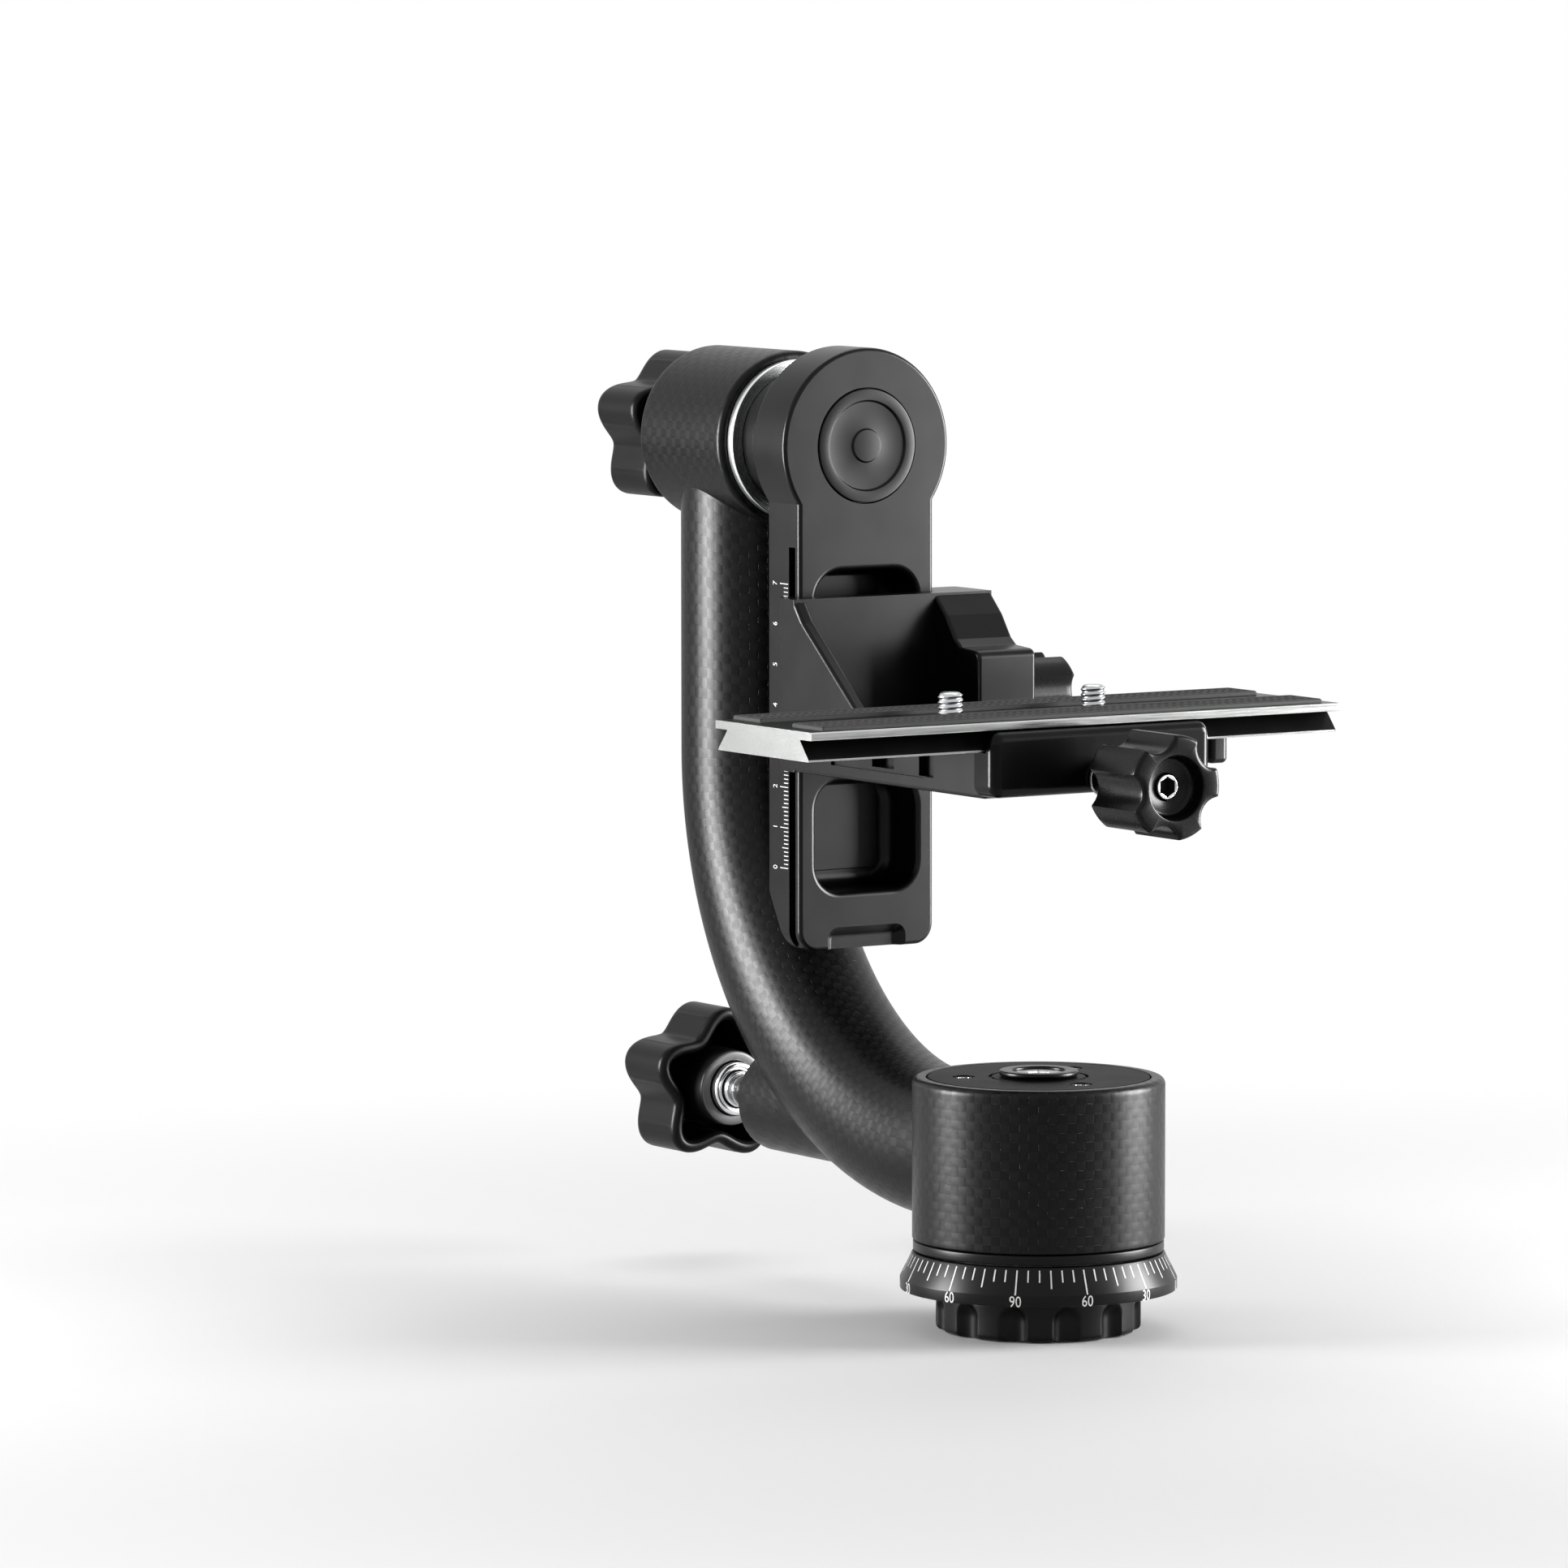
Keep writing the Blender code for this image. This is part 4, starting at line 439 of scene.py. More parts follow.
def blendColour(tree, factor, first, second):
    # first * (1 - factor) + second * factor
    node = addNode(tree, "ShaderNodeMix", {"Factor": factor}, data_type="RGBA")
    for key, value in (("A", first), ("B", second)):
        socket = [s for s in node.inputs if s.name == key and s.type == "RGBA"][0]
        if isinstance(value, bpy.types.NodeSocket):
            tree.links.new(value, socket)
        else:
            socket.default_value = (*value, 1.0)
    return [s for s in node.outputs if s.type == "RGBA"][0]


def noiseOut(tree, vector, scale, detail=3.0, rough=0.55):
    # soft noise from 0 to 1, scale bumps to the metre
    return addNode(tree, "ShaderNodeTexNoise", {"Vector": vector, "Scale": scale, "Detail": detail,
                                                "Roughness": rough}).outputs["Fac"]


def grainFinish(name, dark, light, roughness, metallic=0.0, specular=0.5, cloudSize=9.0, grainSize=0.35,
                grainDepth=0.004, waveSize=6.0, waveDepth=0.0, spread=0.08):
    # painted, moulded or anodised skin: colour drifts over cloudSize, height = grain * grainDepth
    # + wave * waveDepth, all in mm
    made, tree, shader = freshFinish(name, metallic, specular)
    place = objectPlace(tree)
    cloud = noiseOut(tree, place, 1000 / cloudSize, 4)
    grain = noiseOut(tree, place, 1000 / grainSize, 2)
    wave = noiseOut(tree, place, 1000 / waveSize, 2)
    mixed = plus(tree, times(tree, cloud, 0.6), times(tree, grain, 0.4))
    height = plus(tree, times(tree, grain, grainDepth), times(tree, wave, waveDepth))
    paint(tree, shader, blendColour(tree, cloud, dark, light),
          ramp(tree, mixed, roughness - spread, roughness + spread), height)
    return made


def clothFinish(name, dark, light, roughness, depth=0.035):
    made, tree, shader = freshFinish(name, 0.0, 0.14)
    place = objectPlace(tree)
    cloth = addNode(tree, "ShaderNodeUVMap", uv_map="cloth").outputs[0]
    wobble = noiseOut(tree, place, 260.0, 2)
    parts = addNode(tree, "ShaderNodeSeparateXYZ", {0: cloth}).outputs
    shift = times(tree, mathOut(tree, "SUBTRACT", wobble, 0.5), 0.35)
    across = plus(tree, parts[0], shift)
    along = plus(tree, parts[1], shift)
    cell = plus(tree, mathOut(tree, "FLOOR", across), mathOut(tree, "FLOOR", along))
    over = mathOut(tree, "MODULO", plus(tree, cell, 4000.0), 2.0)
    towA = mathOut(tree, "SINE", times(tree, mathOut(tree, "FRACT", across), math.pi))
    towB = mathOut(tree, "SINE", times(tree, mathOut(tree, "FRACT", along), math.pi))
    tow = addNode(tree, "ShaderNodeMix", {0: over, 2: towA, 3: towB}, data_type="FLOAT").outputs[0]
    lone = addNode(tree, "ShaderNodeCombineXYZ", {0: mathOut(tree, "FLOOR", across),
                                                  1: mathOut(tree, "FLOOR", along)}).outputs[0]
    chance = addNode(tree, "ShaderNodeTexWhiteNoise", {"Vector": lone}, noise_dimensions="2D").outputs[0]
    tone = plus(tree, times(tree, over, 0.45), plus(tree, times(tree, tow, 0.3), times(tree, chance, 0.25)))
    fibre = noiseOut(tree, place, 3200.0, 2)
    gloss = plus(tree, times(tree, tone, 0.6), times(tree, fibre, 0.4))
    height = plus(tree, times(tree, tow, depth), times(tree, fibre, 0.004))
    paint(tree, shader, blendColour(tree, tone, dark, light),
          ramp(tree, gloss, roughness - 0.07, roughness + 0.09), height)
    return made


def turnedFinish(name, colour, roughness, centre, way, lineSize=0.25, depth=0.003):
    # metal off a lathe: fine lines follow distance from the axis plus distance along it
    made, tree, shader = freshFinish(name, 1.0)
    place = objectPlace(tree)
    moved = addNode(tree, "ShaderNodeMapping", {"Vector": place, "Location": [-c * mm for c in centre]})
    parts = addNode(tree, "ShaderNodeSeparateXYZ", {0: moved.outputs[0]}).outputs
    along = {"up": 2, "right": 0, "left": 0, "back": 1}[way]
    flat = [parts[k] for k in range(3) if k != along]
    radius = mathOut(tree, "SQRT", plus(tree, *[times(tree, part, part) for part in flat]))
    line = times(tree, plus(tree, radius, parts[along]), 1000 / lineSize)
    lines = addNode(tree, "ShaderNodeTexNoise", {"W": line, "Scale": 1.0, "Detail": 3.0},
                    noise_dimensions="1D").outputs["Fac"]
    cloud = noiseOut(tree, place, 180.0, 3)
    shade = tuple(c * 0.82 for c in colour)
    paint(tree, shader, blendColour(tree, cloud, shade, colour),
          ramp(tree, lines, roughness - 0.06, roughness + 0.1), times(tree, lines, depth))
    return made


def brushedFinish(name, colour, roughness, stretch, lineSize=0.3, depth=0.003):
    # milled or brushed metal: noise drawn out along the direction whose stretch is small
    made, tree, shader = freshFinish(name, 1.0)
    place = objectPlace(tree)
    drawn = addNode(tree, "ShaderNodeMapping", {"Vector": place, "Scale": stretch}).outputs[0]
    lines = noiseOut(tree, drawn, 1000 / lineSize, 3)
    cloud = noiseOut(tree, place, 150.0, 3)
    shade = tuple(c * 0.85 for c in colour)
    paint(tree, shader, blendColour(tree, cloud, shade, colour),
          ramp(tree, lines, roughness - 0.08, roughness + 0.1), times(tree, lines, depth))
    return made


matteCarbon = clothFinish("matteCarbon", grey(0.0012), (0.0044, 0.0045, 0.0045), 0.33, depth=0.016)
glossCasting = grainFinish("glossCasting", grey(0.0014), grey(0.0026), 0.30,
                           specular=0.16, grainSize=0.5, grainDepth=0.0015, waveSize=7.0, waveDepth=0.010,
                           spread=0.05)
jawCasting = grainFinish("jawCasting", grey(0.0014), grey(0.0026), 0.24, specular=0.12,
                         grainSize=0.5, grainDepth=0.0012, waveSize=7.0, waveDepth=0.010, spread=0.04)
satinAnodised = grainFinish("satinAnodised", (0.0018, 0.0018, 0.0019), (0.0040, 0.0040, 0.0042), 0.31,
                            specular=0.14, grainSize=0.18, grainDepth=0.003)
mattePlastic = grainFinish("mattePlastic", grey(0.0014), grey(0.0034), 0.36, specular=0.12,
                           grainSize=0.22, grainDepth=0.008, waveSize=9.0, waveDepth=0.02)
smoothPlastic = grainFinish("smoothPlastic", grey(0.0014), grey(0.0030), 0.27, specular=0.15,
                            grainSize=0.3, grainDepth=0.003, waveSize=8.0, waveDepth=0.015)
plateAnodised = grainFinish("plateAnodised", (0.0025, 0.0025, 0.0028), (0.0050, 0.0050, 0.0054), 0.3,
                            specular=0.12, grainSize=0.15, grainDepth=0.002)
# drum lid: the gloss black with its reflection turned down to 0.03, painted shade standing in for the dark
# surroundings the lid mirrors
shadedLidBlack = grainFinish("shadedLidBlack", grey(0.0020), grey(0.0034), 0.45, specular=0.03,
                       grainSize=0.4, grainDepth=0.003, waveSize=7.0, waveDepth=0.01)
softRubber = grainFinish("softRubber", grey(0.010), grey(0.020), 0.7, specular=0.3,
                         grainSize=0.12, grainDepth=0.012)
whiteInk = grainFinish("whiteInk", (0.70, 0.70, 0.68), (0.82, 0.82, 0.80), 0.5, grainSize=0.1, grainDepth=0.002)
bareMetal = brushedFinish("bareMetal", (0.58, 0.59, 0.58), 0.16, (1.0, 0.03, 1.0), depth=0.0008)
paleNylon = grainFinish("paleNylon", (0.55, 0.55, 0.52), (0.68, 0.68, 0.64), 0.5)
padBrass = grainFinish("padBrass", (0.50, 0.33, 0.12), (0.66, 0.46, 0.20), 0.35, 1.0, grainSize=0.3)
# near-black steel for the inside of the hex sockets: painted shade in the recess
socketShadeSteel = grainFinish("socketShadeSteel", grey(0.012), grey(0.030), 0.5, specular=0.2)
# lighter grey for the big knobs' hub face: a painted highlight of the hub's rounded end
hubHighlightGrey = grainFinish("hubHighlightGrey", grey(0.05), grey(0.11), 0.38, specular=0.4, grainSize=0.3,
                       grainDepth=0.003)
plainSteel = grainFinish("plainSteel", (0.42, 0.43, 0.44), (0.56, 0.57, 0.58), 0.28, 1.0, grainSize=0.25,
                         grainDepth=0.002)
print("finishes ready")


# fluted collar, tripod socket and graduated ring

collar = {"bore": 7.5, "radius": 24.65, "height": 9.5, "corner": 1.2, "flutes": 12, "fluteRadius": 3.9,
          "fluteDepth": 2.1, "flutePhase": 11.9, "fluteTop": 8.4, "blend": 0.7, "columns": 432,
          "screwCircle": 15.5}


def makeCollar():
    # ring whose radius is the smaller of its profile and of a round-ended cutter set on a circle, blended
    c = collar
    profile = softCorners(ringProfile(c["bore"], c["radius"], 0, c["height"]),
                          [0.3, c["corner"], c["corner"], 0.3])
    profile = spaced(profile, 0.45, closed=True)
    turn = np.arange(c["columns"]) * math.tau / c["columns"]
    centre = c["radius"] - c["fluteDepth"] + c["fluteRadius"]
    step = math.tau / c["flutes"]
    off = (turn - math.radians(c["flutePhase"]) + step / 2) % step - step / 2
    start = c["fluteTop"] - math.sqrt(c["fluteRadius"] ** 2 - (centre - c["radius"]) ** 2)
    rise = np.maximum(profile[:, 1] - start, 0)[:, None]
    cutter = np.sqrt(np.maximum(c["fluteRadius"] ** 2 - rise ** 2, 0))
    room = cutter ** 2 - (centre * np.sin(off))[None, :] ** 2
    flute = np.where(room > 0, centre * np.cos(off) - np.sqrt(np.maximum(room, 0)), 40.0)
    base = profile[:, :1] + 0 * off
    radii = np.where(base > 16, smoothLower(base, flute, c["blend"]), base)
    piece = surface("fluted_collar", around(radii, profile[:, 1], (0, 0, 0), "up"), None, closed=True)
    holes = []
    for k in range(3):
        holes.append(cut(rodPiece("hole%d" % k, threeRound(k, c["screwCircle"]), "up", 2.9, -1, 11)))
    carve(piece, holes)
    piece.data.materials.clear()
    piece.data.materials.append(satinAnodised)
    piece.data.set_sharp_from_angle(angle=math.radians(40))
    return fit(piece, "base", "satin_black", "base_collar")


def makeSocket():
    # bush whose bore carries a thread: r = crest + depth * triangle wave of (height / pitch - turn)
    s = {"crest": 4.4, "depth": 0.75, "outer": 7.2, "height": 9.5, "pitch": 1.5875, "columns": 96}
    heights = np.linspace(s["height"] - 0.4, 0.4, 76)
    turn = np.arange(s["columns"]) / s["columns"]
    wave = np.abs((heights[:, None] / s["pitch"] - turn[None, :]) % 1 - 0.5) * 2
    bore = s["crest"] + s["depth"] * wave
    rim = np.array([(5.6, 0), (7.0, 0), (7.2, 0.2), (7.2, 9.3), (7.0, 9.5), (5.6, 9.5)])
    radii = np.vstack([rim[:, :1] + 0 * turn, bore])
    levels = np.concatenate([rim[:, 1], heights])
    piece = surface("socket_thread", around(radii, levels, (0, 0, 0), "up"), padBrass, closed=True, sharp=60)
    return fit(piece, "base", "brass", "socket_bush")


def socketHead(name, radius, socket, depth, low, high, centre, way, finish, edge=0.3, columns=72):
    # screw head: round sides, soft rim, six-sided hole; r of the hole = flat / cos(angle folded into a sixth)
    turn = np.arange(columns) * math.tau / columns
    six = socket / np.cos((turn + math.pi / 6) % (math.pi / 3) - math.pi / 6)
    plain = [(0, low), (radius, low), (radius, high - edge), (radius - edge * 0.3, high - edge * 0.3),
             (radius - edge, high), (socket * 1.17, high)]
    radii = np.vstack([np.full((1, columns), r) for r, h in plain]
                      + [six[None], six[None] * 0.96, 0 * six[None]])
    sink = 1 if high > low else -1
    levels = np.array([h for r, h in plain] + [high - sink * 0.12, high - sink * depth, high - sink * depth])
    return surface(name, around(radii, levels, centre, way), finish, sharp=30)


def makeDial():
    # ring with a lower band, a cone that carries the strokes and a step under the drum
    profile = [(13.0, 9.8), (33.3, 9.8), (33.3, 12.5), (30.2, 18.8), (27.6, 18.8), (27.6, 18.0), (13.0, 18.0)]
    piece = turnedPiece("dial_ring", profile, (0, 0, 0), "up", satinAnodised, 192, 0.35, closed=True)
    return fit(piece, "base", "satin_black", "graduated_ring")


makeCollar()
makeSocket()
makeDial()
for k in range(3):
    piece = socketHead("collar_screw_%d" % (k + 1), 2.6, 1.25, 1.6, 13.0, 3.4,
                       threeRound(k, collar["screwCircle"]), "up", plainSteel)
    fit(piece, "base", "steel", "base_screw_%d" % (k + 1))
print("collar, socket and dial ready")


# printed marks: flat letters and strokes laid on a surface, then given a little height

def flatText(words, size, narrow):
    # outline of a short number as triangles in its own plane, merged
    letters = bpy.data.curves.new("letters", "FONT")
    letters.body = words
    letters.size = size
    letters.align_x = "CENTER"
    letters.align_y = "CENTER"
    letters.resolution_u = 3
    holder = bpy.data.objects.new("letters", letters)
    bpy.context.scene.collection.objects.link(holder)
    graph = bpy.context.evaluated_depsgraph_get()
    mesh = bpy.data.meshes.new_from_object(holder.evaluated_get(graph), depsgraph=graph)
    mesh.calc_loop_triangles()
    points = np.zeros(len(mesh.vertices) * 3)
    mesh.vertices.foreach_get("co", points)
    faces = np.zeros(len(mesh.loop_triangles) * 3, np.int32)
    mesh.loop_triangles.foreach_get("vertices", faces)
    points = points.reshape(-1, 3)[:, :2] * [narrow, 1.0]
    middle = (points.min(0) + points.max(0)) / 2
    bpy.data.objects.remove(holder, do_unlink=True)
    bpy.data.meshes.remove(mesh)
    return points - middle, faces.reshape(-1, 3)


def strokes(centres, widths, lows, highs):
    # one four-cornered patch per stroke
    count = len(centres)
    left, right = centres - widths / 2, centres + widths / 2
    a = np.stack([left, right, right, left], axis=1)
    b = np.stack([lows, lows, highs, highs], axis=1)
    points = np.stack([a, b], axis=-1).reshape(-1, 2)
    faces = np.arange(count * 4).reshape(-1, 4)
    return points, np.vstack([faces[:, [0, 1, 2]], faces[:, [0, 2, 3]]])


def inked(name, parts, lay, body):
    # all patches joined, laid on the surface by lay(points, height) and closed round their edges
    points = np.vstack([p for p, f in parts])
    offsets = np.cumsum([0] + [len(p) for p, f in parts[:-1]])
    faces = np.vstack([f + o for (p, f), o in zip(parts, offsets)])
    mesh = bpy.data.meshes.new(name)
    mesh.from_pydata((lay(points, -0.02) * mm).tolist(), [], faces.tolist())
    top = lay(points, 0.035) * mm
    work = bmesh.new()
    work.from_mesh(mesh)
    work.verts.ensure_lookup_table()
    grown = bmesh.ops.extrude_face_region(work, geom=work.faces[:], use_keep_orig=True)
    raised = [g for g in grown["geom"] if isinstance(g, bmesh.types.BMVert)]
    key = {tuple(np.round(v.co, 7)): k for k, v in enumerate(work.verts[:len(points)])}
    for vert in raised:
        vert.co = top[key[tuple(np.round(vert.co, 7))]]
    work.to_mesh(mesh)
    work.free()
    piece = tidied(name, mesh, whiteInk, 20)
    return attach(piece, body)


dialMarks = {"zeroAt": -133.6, "textSize": 3.75, "narrow": 0.8, "textHeight": 11.1, "stroke": 0.34,
             "top": 6.35, "short": 3.0, "medium": 4.6, "long": 6.2, "band": 33.3}


def makeDialMarks():
    # strokes lie on the cone by arc length, numbers on the band below it
    d = dialMarks
    slope = math.hypot(33.3 - 30.2, 18.8 - 12.5)

    def layCone(points, height):
        # points: x = angle in degrees, y = distance up the cone from its lower edge
        share = points[:, 1] / slope
        radius = 33.3 + (30.2 - 33.3) * share + height * (18.8 - 12.5) / slope
        level = 12.5 + (18.8 - 12.5) * share + height * (33.3 - 30.2) / slope
        turn = np.radians(points[:, 0])
        return np.stack([radius * np.cos(turn), radius * np.sin(turn), level], axis=1)

    def layBand(points, height):
        # points wrap round the band: turn = x / band radius, z = y
        turn = points[:, 0] / d["band"]
        radius = d["band"] + height
        return np.stack([radius * np.cos(turn), radius * np.sin(turn), points[:, 1]], axis=1)

    degrees = np.arange(0, 360, 5.0)
    reach = np.where(degrees % 30 == 0, d["long"], np.where(degrees % 15 == 0, d["medium"], d["short"]))
    wide = np.degrees(d["stroke"] / 31.8)
    ticks = strokes(degrees + d["zeroAt"], np.full(len(degrees), wide), d["top"] - reach,
                    np.full(len(degrees), d["top"]))
    inked("dial_strokes", [ticks], layCone, "base")
    numbers = []
    for k in range(12):
        value = [0, 30, 60, 90, 60, 30][k % 6]
        points, faces = flatText(str(value), d["textSize"], d["narrow"])
        centre = math.radians(30 * k + d["zeroAt"]) * d["band"]
        numbers.append((points + [centre, d["textHeight"]], faces))
    inked("dial_numbers", numbers, layBand, "base")


makeDialMarks()


# pan drum with its flange ring, cap and screws

drum = {"radius": 30.36, "bore": 25.56, "low": 21.9, "high": 60.8, "edge": 2.0, "ledge": 27.06, "cell": 2.25,
        "screwCircle": 18}


def makeDrum():
    # carbon shell, flange ring, lid with its screw wells and groove, hub and screws
    d = drum
    profile = np.array([(d["bore"], d["low"]), (d["radius"], d["low"]), (d["radius"], d["high"]),
                        (d["ledge"], d["high"]), (d["ledge"], 57.5), (d["bore"], 57.5)])
    line = spaced(softCorners(profile, [0.2, 0.35, d["edge"], 0.25, 0.1, 0.1]), 3.0, closed=True)
    running = np.concatenate([[0], np.cumsum(np.linalg.norm(np.diff(line, axis=0), axis=1))])
    grid = around(line[:, 0], line[:, 1], (0, 0, 0), "up", 192)
    count = 2 * round(math.tau * d["radius"] / d["cell"] / 2)
    shell = surface("drum_shell", grid, matteCarbon, closed=True, cells=(count, running / d["cell"]))
    fit(shell, "arm", "carbon", "pan_drum")
    flange = turnedPiece("drum_flange", ringProfile(10.6, 30.16, 19.2, 21.6), (0, 0, 0), "up", satinAnodised,
                         192, 0.4, closed=True)
    fit(flange, "arm", "satin_black", "drum_flange_ring")
    cap = turnedPiece("drum_lid", discProfile(26.76, 57.8, 60.8), (0, 0, 0), "up", glossCasting, 192, 0.35)
    wells = []
    for k in range(3):
        wells.append(cut(rodPiece("well%d" % k, threeRound(k, d["screwCircle"]), "up", 2.7, 59.0, 62.0)))
    groove = around([11.2, 11.2, 12.0, 12.0], [62, 60.35, 60.35, 62], (0, 0, 0), "up", 144)
    wells.append(cut(surface("ringGroove", groove, None, closed=True)))
    carve(cap, wells)
    # the lid takes the shaded black, whose dim reflection is painted shade
    cast(cap, 0.25, 3, shadedLidBlack)
    fit(cap, "arm", "gloss_black", "drum_cap")
    for k in range(3):
        piece = socketHead("lid_screw_%d" % (k + 1), 2.4, 1.2, 1.0, 59.3, 60.5,
                           threeRound(k, d["screwCircle"]), "up", plainSteel)
        fit(piece, "arm", "steel", "cap_screw_%d" % (k + 1))
    hub = turnedPiece("lid_hub", ringProfile(6.3, 9.5, 61.1, 62.4), (0, 0, 0), "up", glossCasting, 144, 0.5,
                      closed=True)
    fit(hub, "arm", "gloss_black", "cap_hub")
    centre = socketHead("lid_centre_screw", 6.0, 2.4, 0.45, 61.1, 61.75, (0, 0, 0), "up", plainSteel, 0.2, 96)
    fit(centre, "arm", "steel", "cap_centre_screw")


makeDrum()
print("drum ready")


# J arm with the pan lock boss, and the tilt barrel

jArm = {"radius": 18.2, "wall": 3.2, "bend": 90.3, "bendX": -37.0, "bendZ": 130.3, "level": 40.0,
        "upright": -127.3, "tilt": tiltHeight, "columns": 144, "bendSteps": 84, "cell": 2.25,
        "boss": 13.2, "bossEnd": -114.7, "bossHeight": panHeight, "bossBore": 4.8}


def armRows(radius, inside, drumRadius, barrelRadius):
    # circle carried along the path: level run, quarter bend, upright run; the end rows follow the drum and
    # the barrel
    a = jArm
    turn = np.arange(a["columns"]) * math.tau / a["columns"]
    across = radius * np.sin(turn)
    out = radius * np.cos(turn)
    startX = -np.sqrt(drumRadius ** 2 - across ** 2)
    first = np.stack([startX, across, a["level"] - out], axis=1)[None]
    angle = np.radians(np.linspace(0, 90, a["bendSteps"] + 1))[:, None]
    reach = a["bend"] + out[None, :]
    bent = np.stack([a["bendX"] - reach * np.sin(angle), across[None, :] + 0 * angle,
                     a["bendZ"] - reach * np.cos(angle)], axis=-1)
    endZ = a["tilt"] - np.sqrt(barrelRadius ** 2 - across ** 2)
    share = np.linspace(0, 1, 9)[1:, None]
    topZ = a["bendZ"] + (endZ[None, :] - a["bendZ"]) * share
    top = np.stack([a["upright"] - out[None, :] + 0 * share, across[None, :] + 0 * share, topZ], axis=-1)
    rows = np.concatenate([first, bent, top])
    return rows[::-1] if inside else rows


def makeArm():
    # outer and inner skin of the carbon tube in one closed grid, then the pan lock's boss
    a = jArm
    outer = armRows(a["radius"], False, drum["radius"] - 1.5, 20.6)
    inner = armRows(a["radius"] - a["wall"], True, drum["radius"] - 2.0, 20.2)
    grid = np.concatenate([outer, inner])
    bendLength = a["bend"] * math.pi / 2
    lengths = np.concatenate([[0], 8 + np.linspace(0, bendLength, a["bendSteps"] + 1),
                              8 + bendLength + np.linspace(0, 60, 9)[1:]])
    lengths = np.concatenate([lengths, lengths[::-1]]) / a["cell"]
    count = 2 * round(math.tau * a["radius"] / a["cell"] / 2)
    tube = surface("carbon_arm", grid, matteCarbon, closed=True, cells=(count, lengths))
    fit(tube, "arm", "carbon", "arm_tube")
    turn = np.arange(96) * math.tau / 96

    def meets(radius):
        # where a line along X at this radius leaves the bend: a circle about the bend's centre, 1 mm under
        # its skin
        y, z = radius * np.cos(turn), a["bossHeight"] + radius * np.sin(turn)
        reach = a["bend"] + np.sqrt((a["radius"] - 1.0) ** 2 - y ** 2)
        return -(a["bendX"] - np.sqrt(reach ** 2 - (a["bendZ"] - z) ** 2))

    end = -a["bossEnd"]
    corner = arcPoints(a["boss"] - 1.0, end - 1.0, 1.0, 0, 90, 5)
    start = meets(a["boss"])
    radii = np.concatenate([np.full(10, a["boss"]), corner[:, 0],
                            [a["bossBore"] + 0.4, a["bossBore"], a["bossBore"]]])
    share = np.linspace(0, 1, 10)[:, None]
    sides = start[None, :] * (1 - share) + (end - 1.0) * share
    levels = np.vstack([sides, np.repeat(corner[:, 1:], 96, axis=1), np.full((1, 96), end),
                        np.full((1, 96), end - 0.4), meets(a["bossBore"])[None]])
    bossGrid = around(np.repeat(radii[:, None], 96, axis=1), levels, (0, 0, a["bossHeight"]), "left")
    bossCells = (2 * round(math.tau * a["boss"] / a["cell"] / 2), np.concatenate(
        [np.linspace(0, 18, 10), 18 + np.linspace(0, 1.6, 6), [28, 28.5, 40]]) / a["cell"])
    boss = surface("lock_boss", bossGrid, matteCarbon, closed=True, cells=bossCells)
    fit(boss, "arm", "satin_black", "pan_lock_boss")


def makeBarrel():
    # carbon ring round the tilt axis and the plug at its outer end
    centre = (jArm["upright"], 0, tiltHeight)
    line = spaced(softCorners(ringProfile(18.6, 22.0, -19, 19), [0.4, 1.5, 1.5, 0.4]), 3.0, closed=True)
    running = np.concatenate([[0], np.cumsum(np.linalg.norm(np.diff(line, axis=0), axis=1))])
    count = 2 * round(math.tau * 22 / 2.25 / 2)
    barrel = surface("barrel_shell", around(line[:, 0], line[:, 1], centre, "right", 144), matteCarbon,
                     closed=True, cells=(count, running / 2.25))
    fit(barrel, "arm", "carbon", "tilt_barrel")
    plug = turnedPiece("barrel_plug", ringProfile(4.8, 18.3, -18.7, -14.7), centre, "right", satinAnodised, 144,
                       0.5, closed=True)
    fit(plug, "arm", "satin_black", "barrel_end_plug")


makeArm()
makeBarrel()
print("arm and barrel ready")


# lobed knobs

bigKnob = {"radius": 19.9, "depth": 5.3, "lobes": 5, "flatness": 0.85, "phase": 13.4, "columns": 360,
           "rim": 4.7, "back": 23.9, "floor": 19.9, "wall": 3.0, "hub": 9.5, "bore": 7.0, "ridge": 0.18,
           "ridgeAt": 17.0}
smallKnob = {"radius": 12.5, "valley": 9.5, "scallop": 5.1, "lobes": 5, "blend": 0.8, "columns": 320,
             "length": 19.9, "backEdge": 1.5, "faceEdge": 1.1, "dish": 7.65, "dishEdge": 0.4, "dishDepth": 4.4,
             "bore": 3.2, "neck": 4.6}


def secondFinish(piece, finish, centre, axis, depths, radii):
    # faces whose middle lies between two depths along the axis and two radii round it take another finish
    mesh = piece.data
    mesh.materials.append(finish)
    middles = np.zeros(len(mesh.polygons) * 3)
    mesh.polygons.foreach_get("center", middles)
    middles = middles.reshape(-1, 3) / mm - np.array(centre, float)
    depth = middles[:, axis].copy()
    middles[:, axis] = 0
    radius = np.linalg.norm(middles, axis=1)
    chosen = (depth > depths[0]) & (depth < depths[1]) & (radius > radii[0]) & (radius < radii[1])
    mesh.polygons.foreach_set("material_index", chosen.astype(np.int32))


def lobedReach(knob, phase):
    # reach = radius - depth * (1 - crest ^ flatness), crest = (1 + cos(lobes * (t - phase))) / 2
    turn = np.arange(knob["columns"]) * math.tau / knob["columns"]
    crest = 0.5 + 0.5 * np.cos(knob["lobes"] * (turn - math.radians(phase)))
    return turn, knob["radius"] - knob["depth"] * (1 - crest ** knob["flatness"])


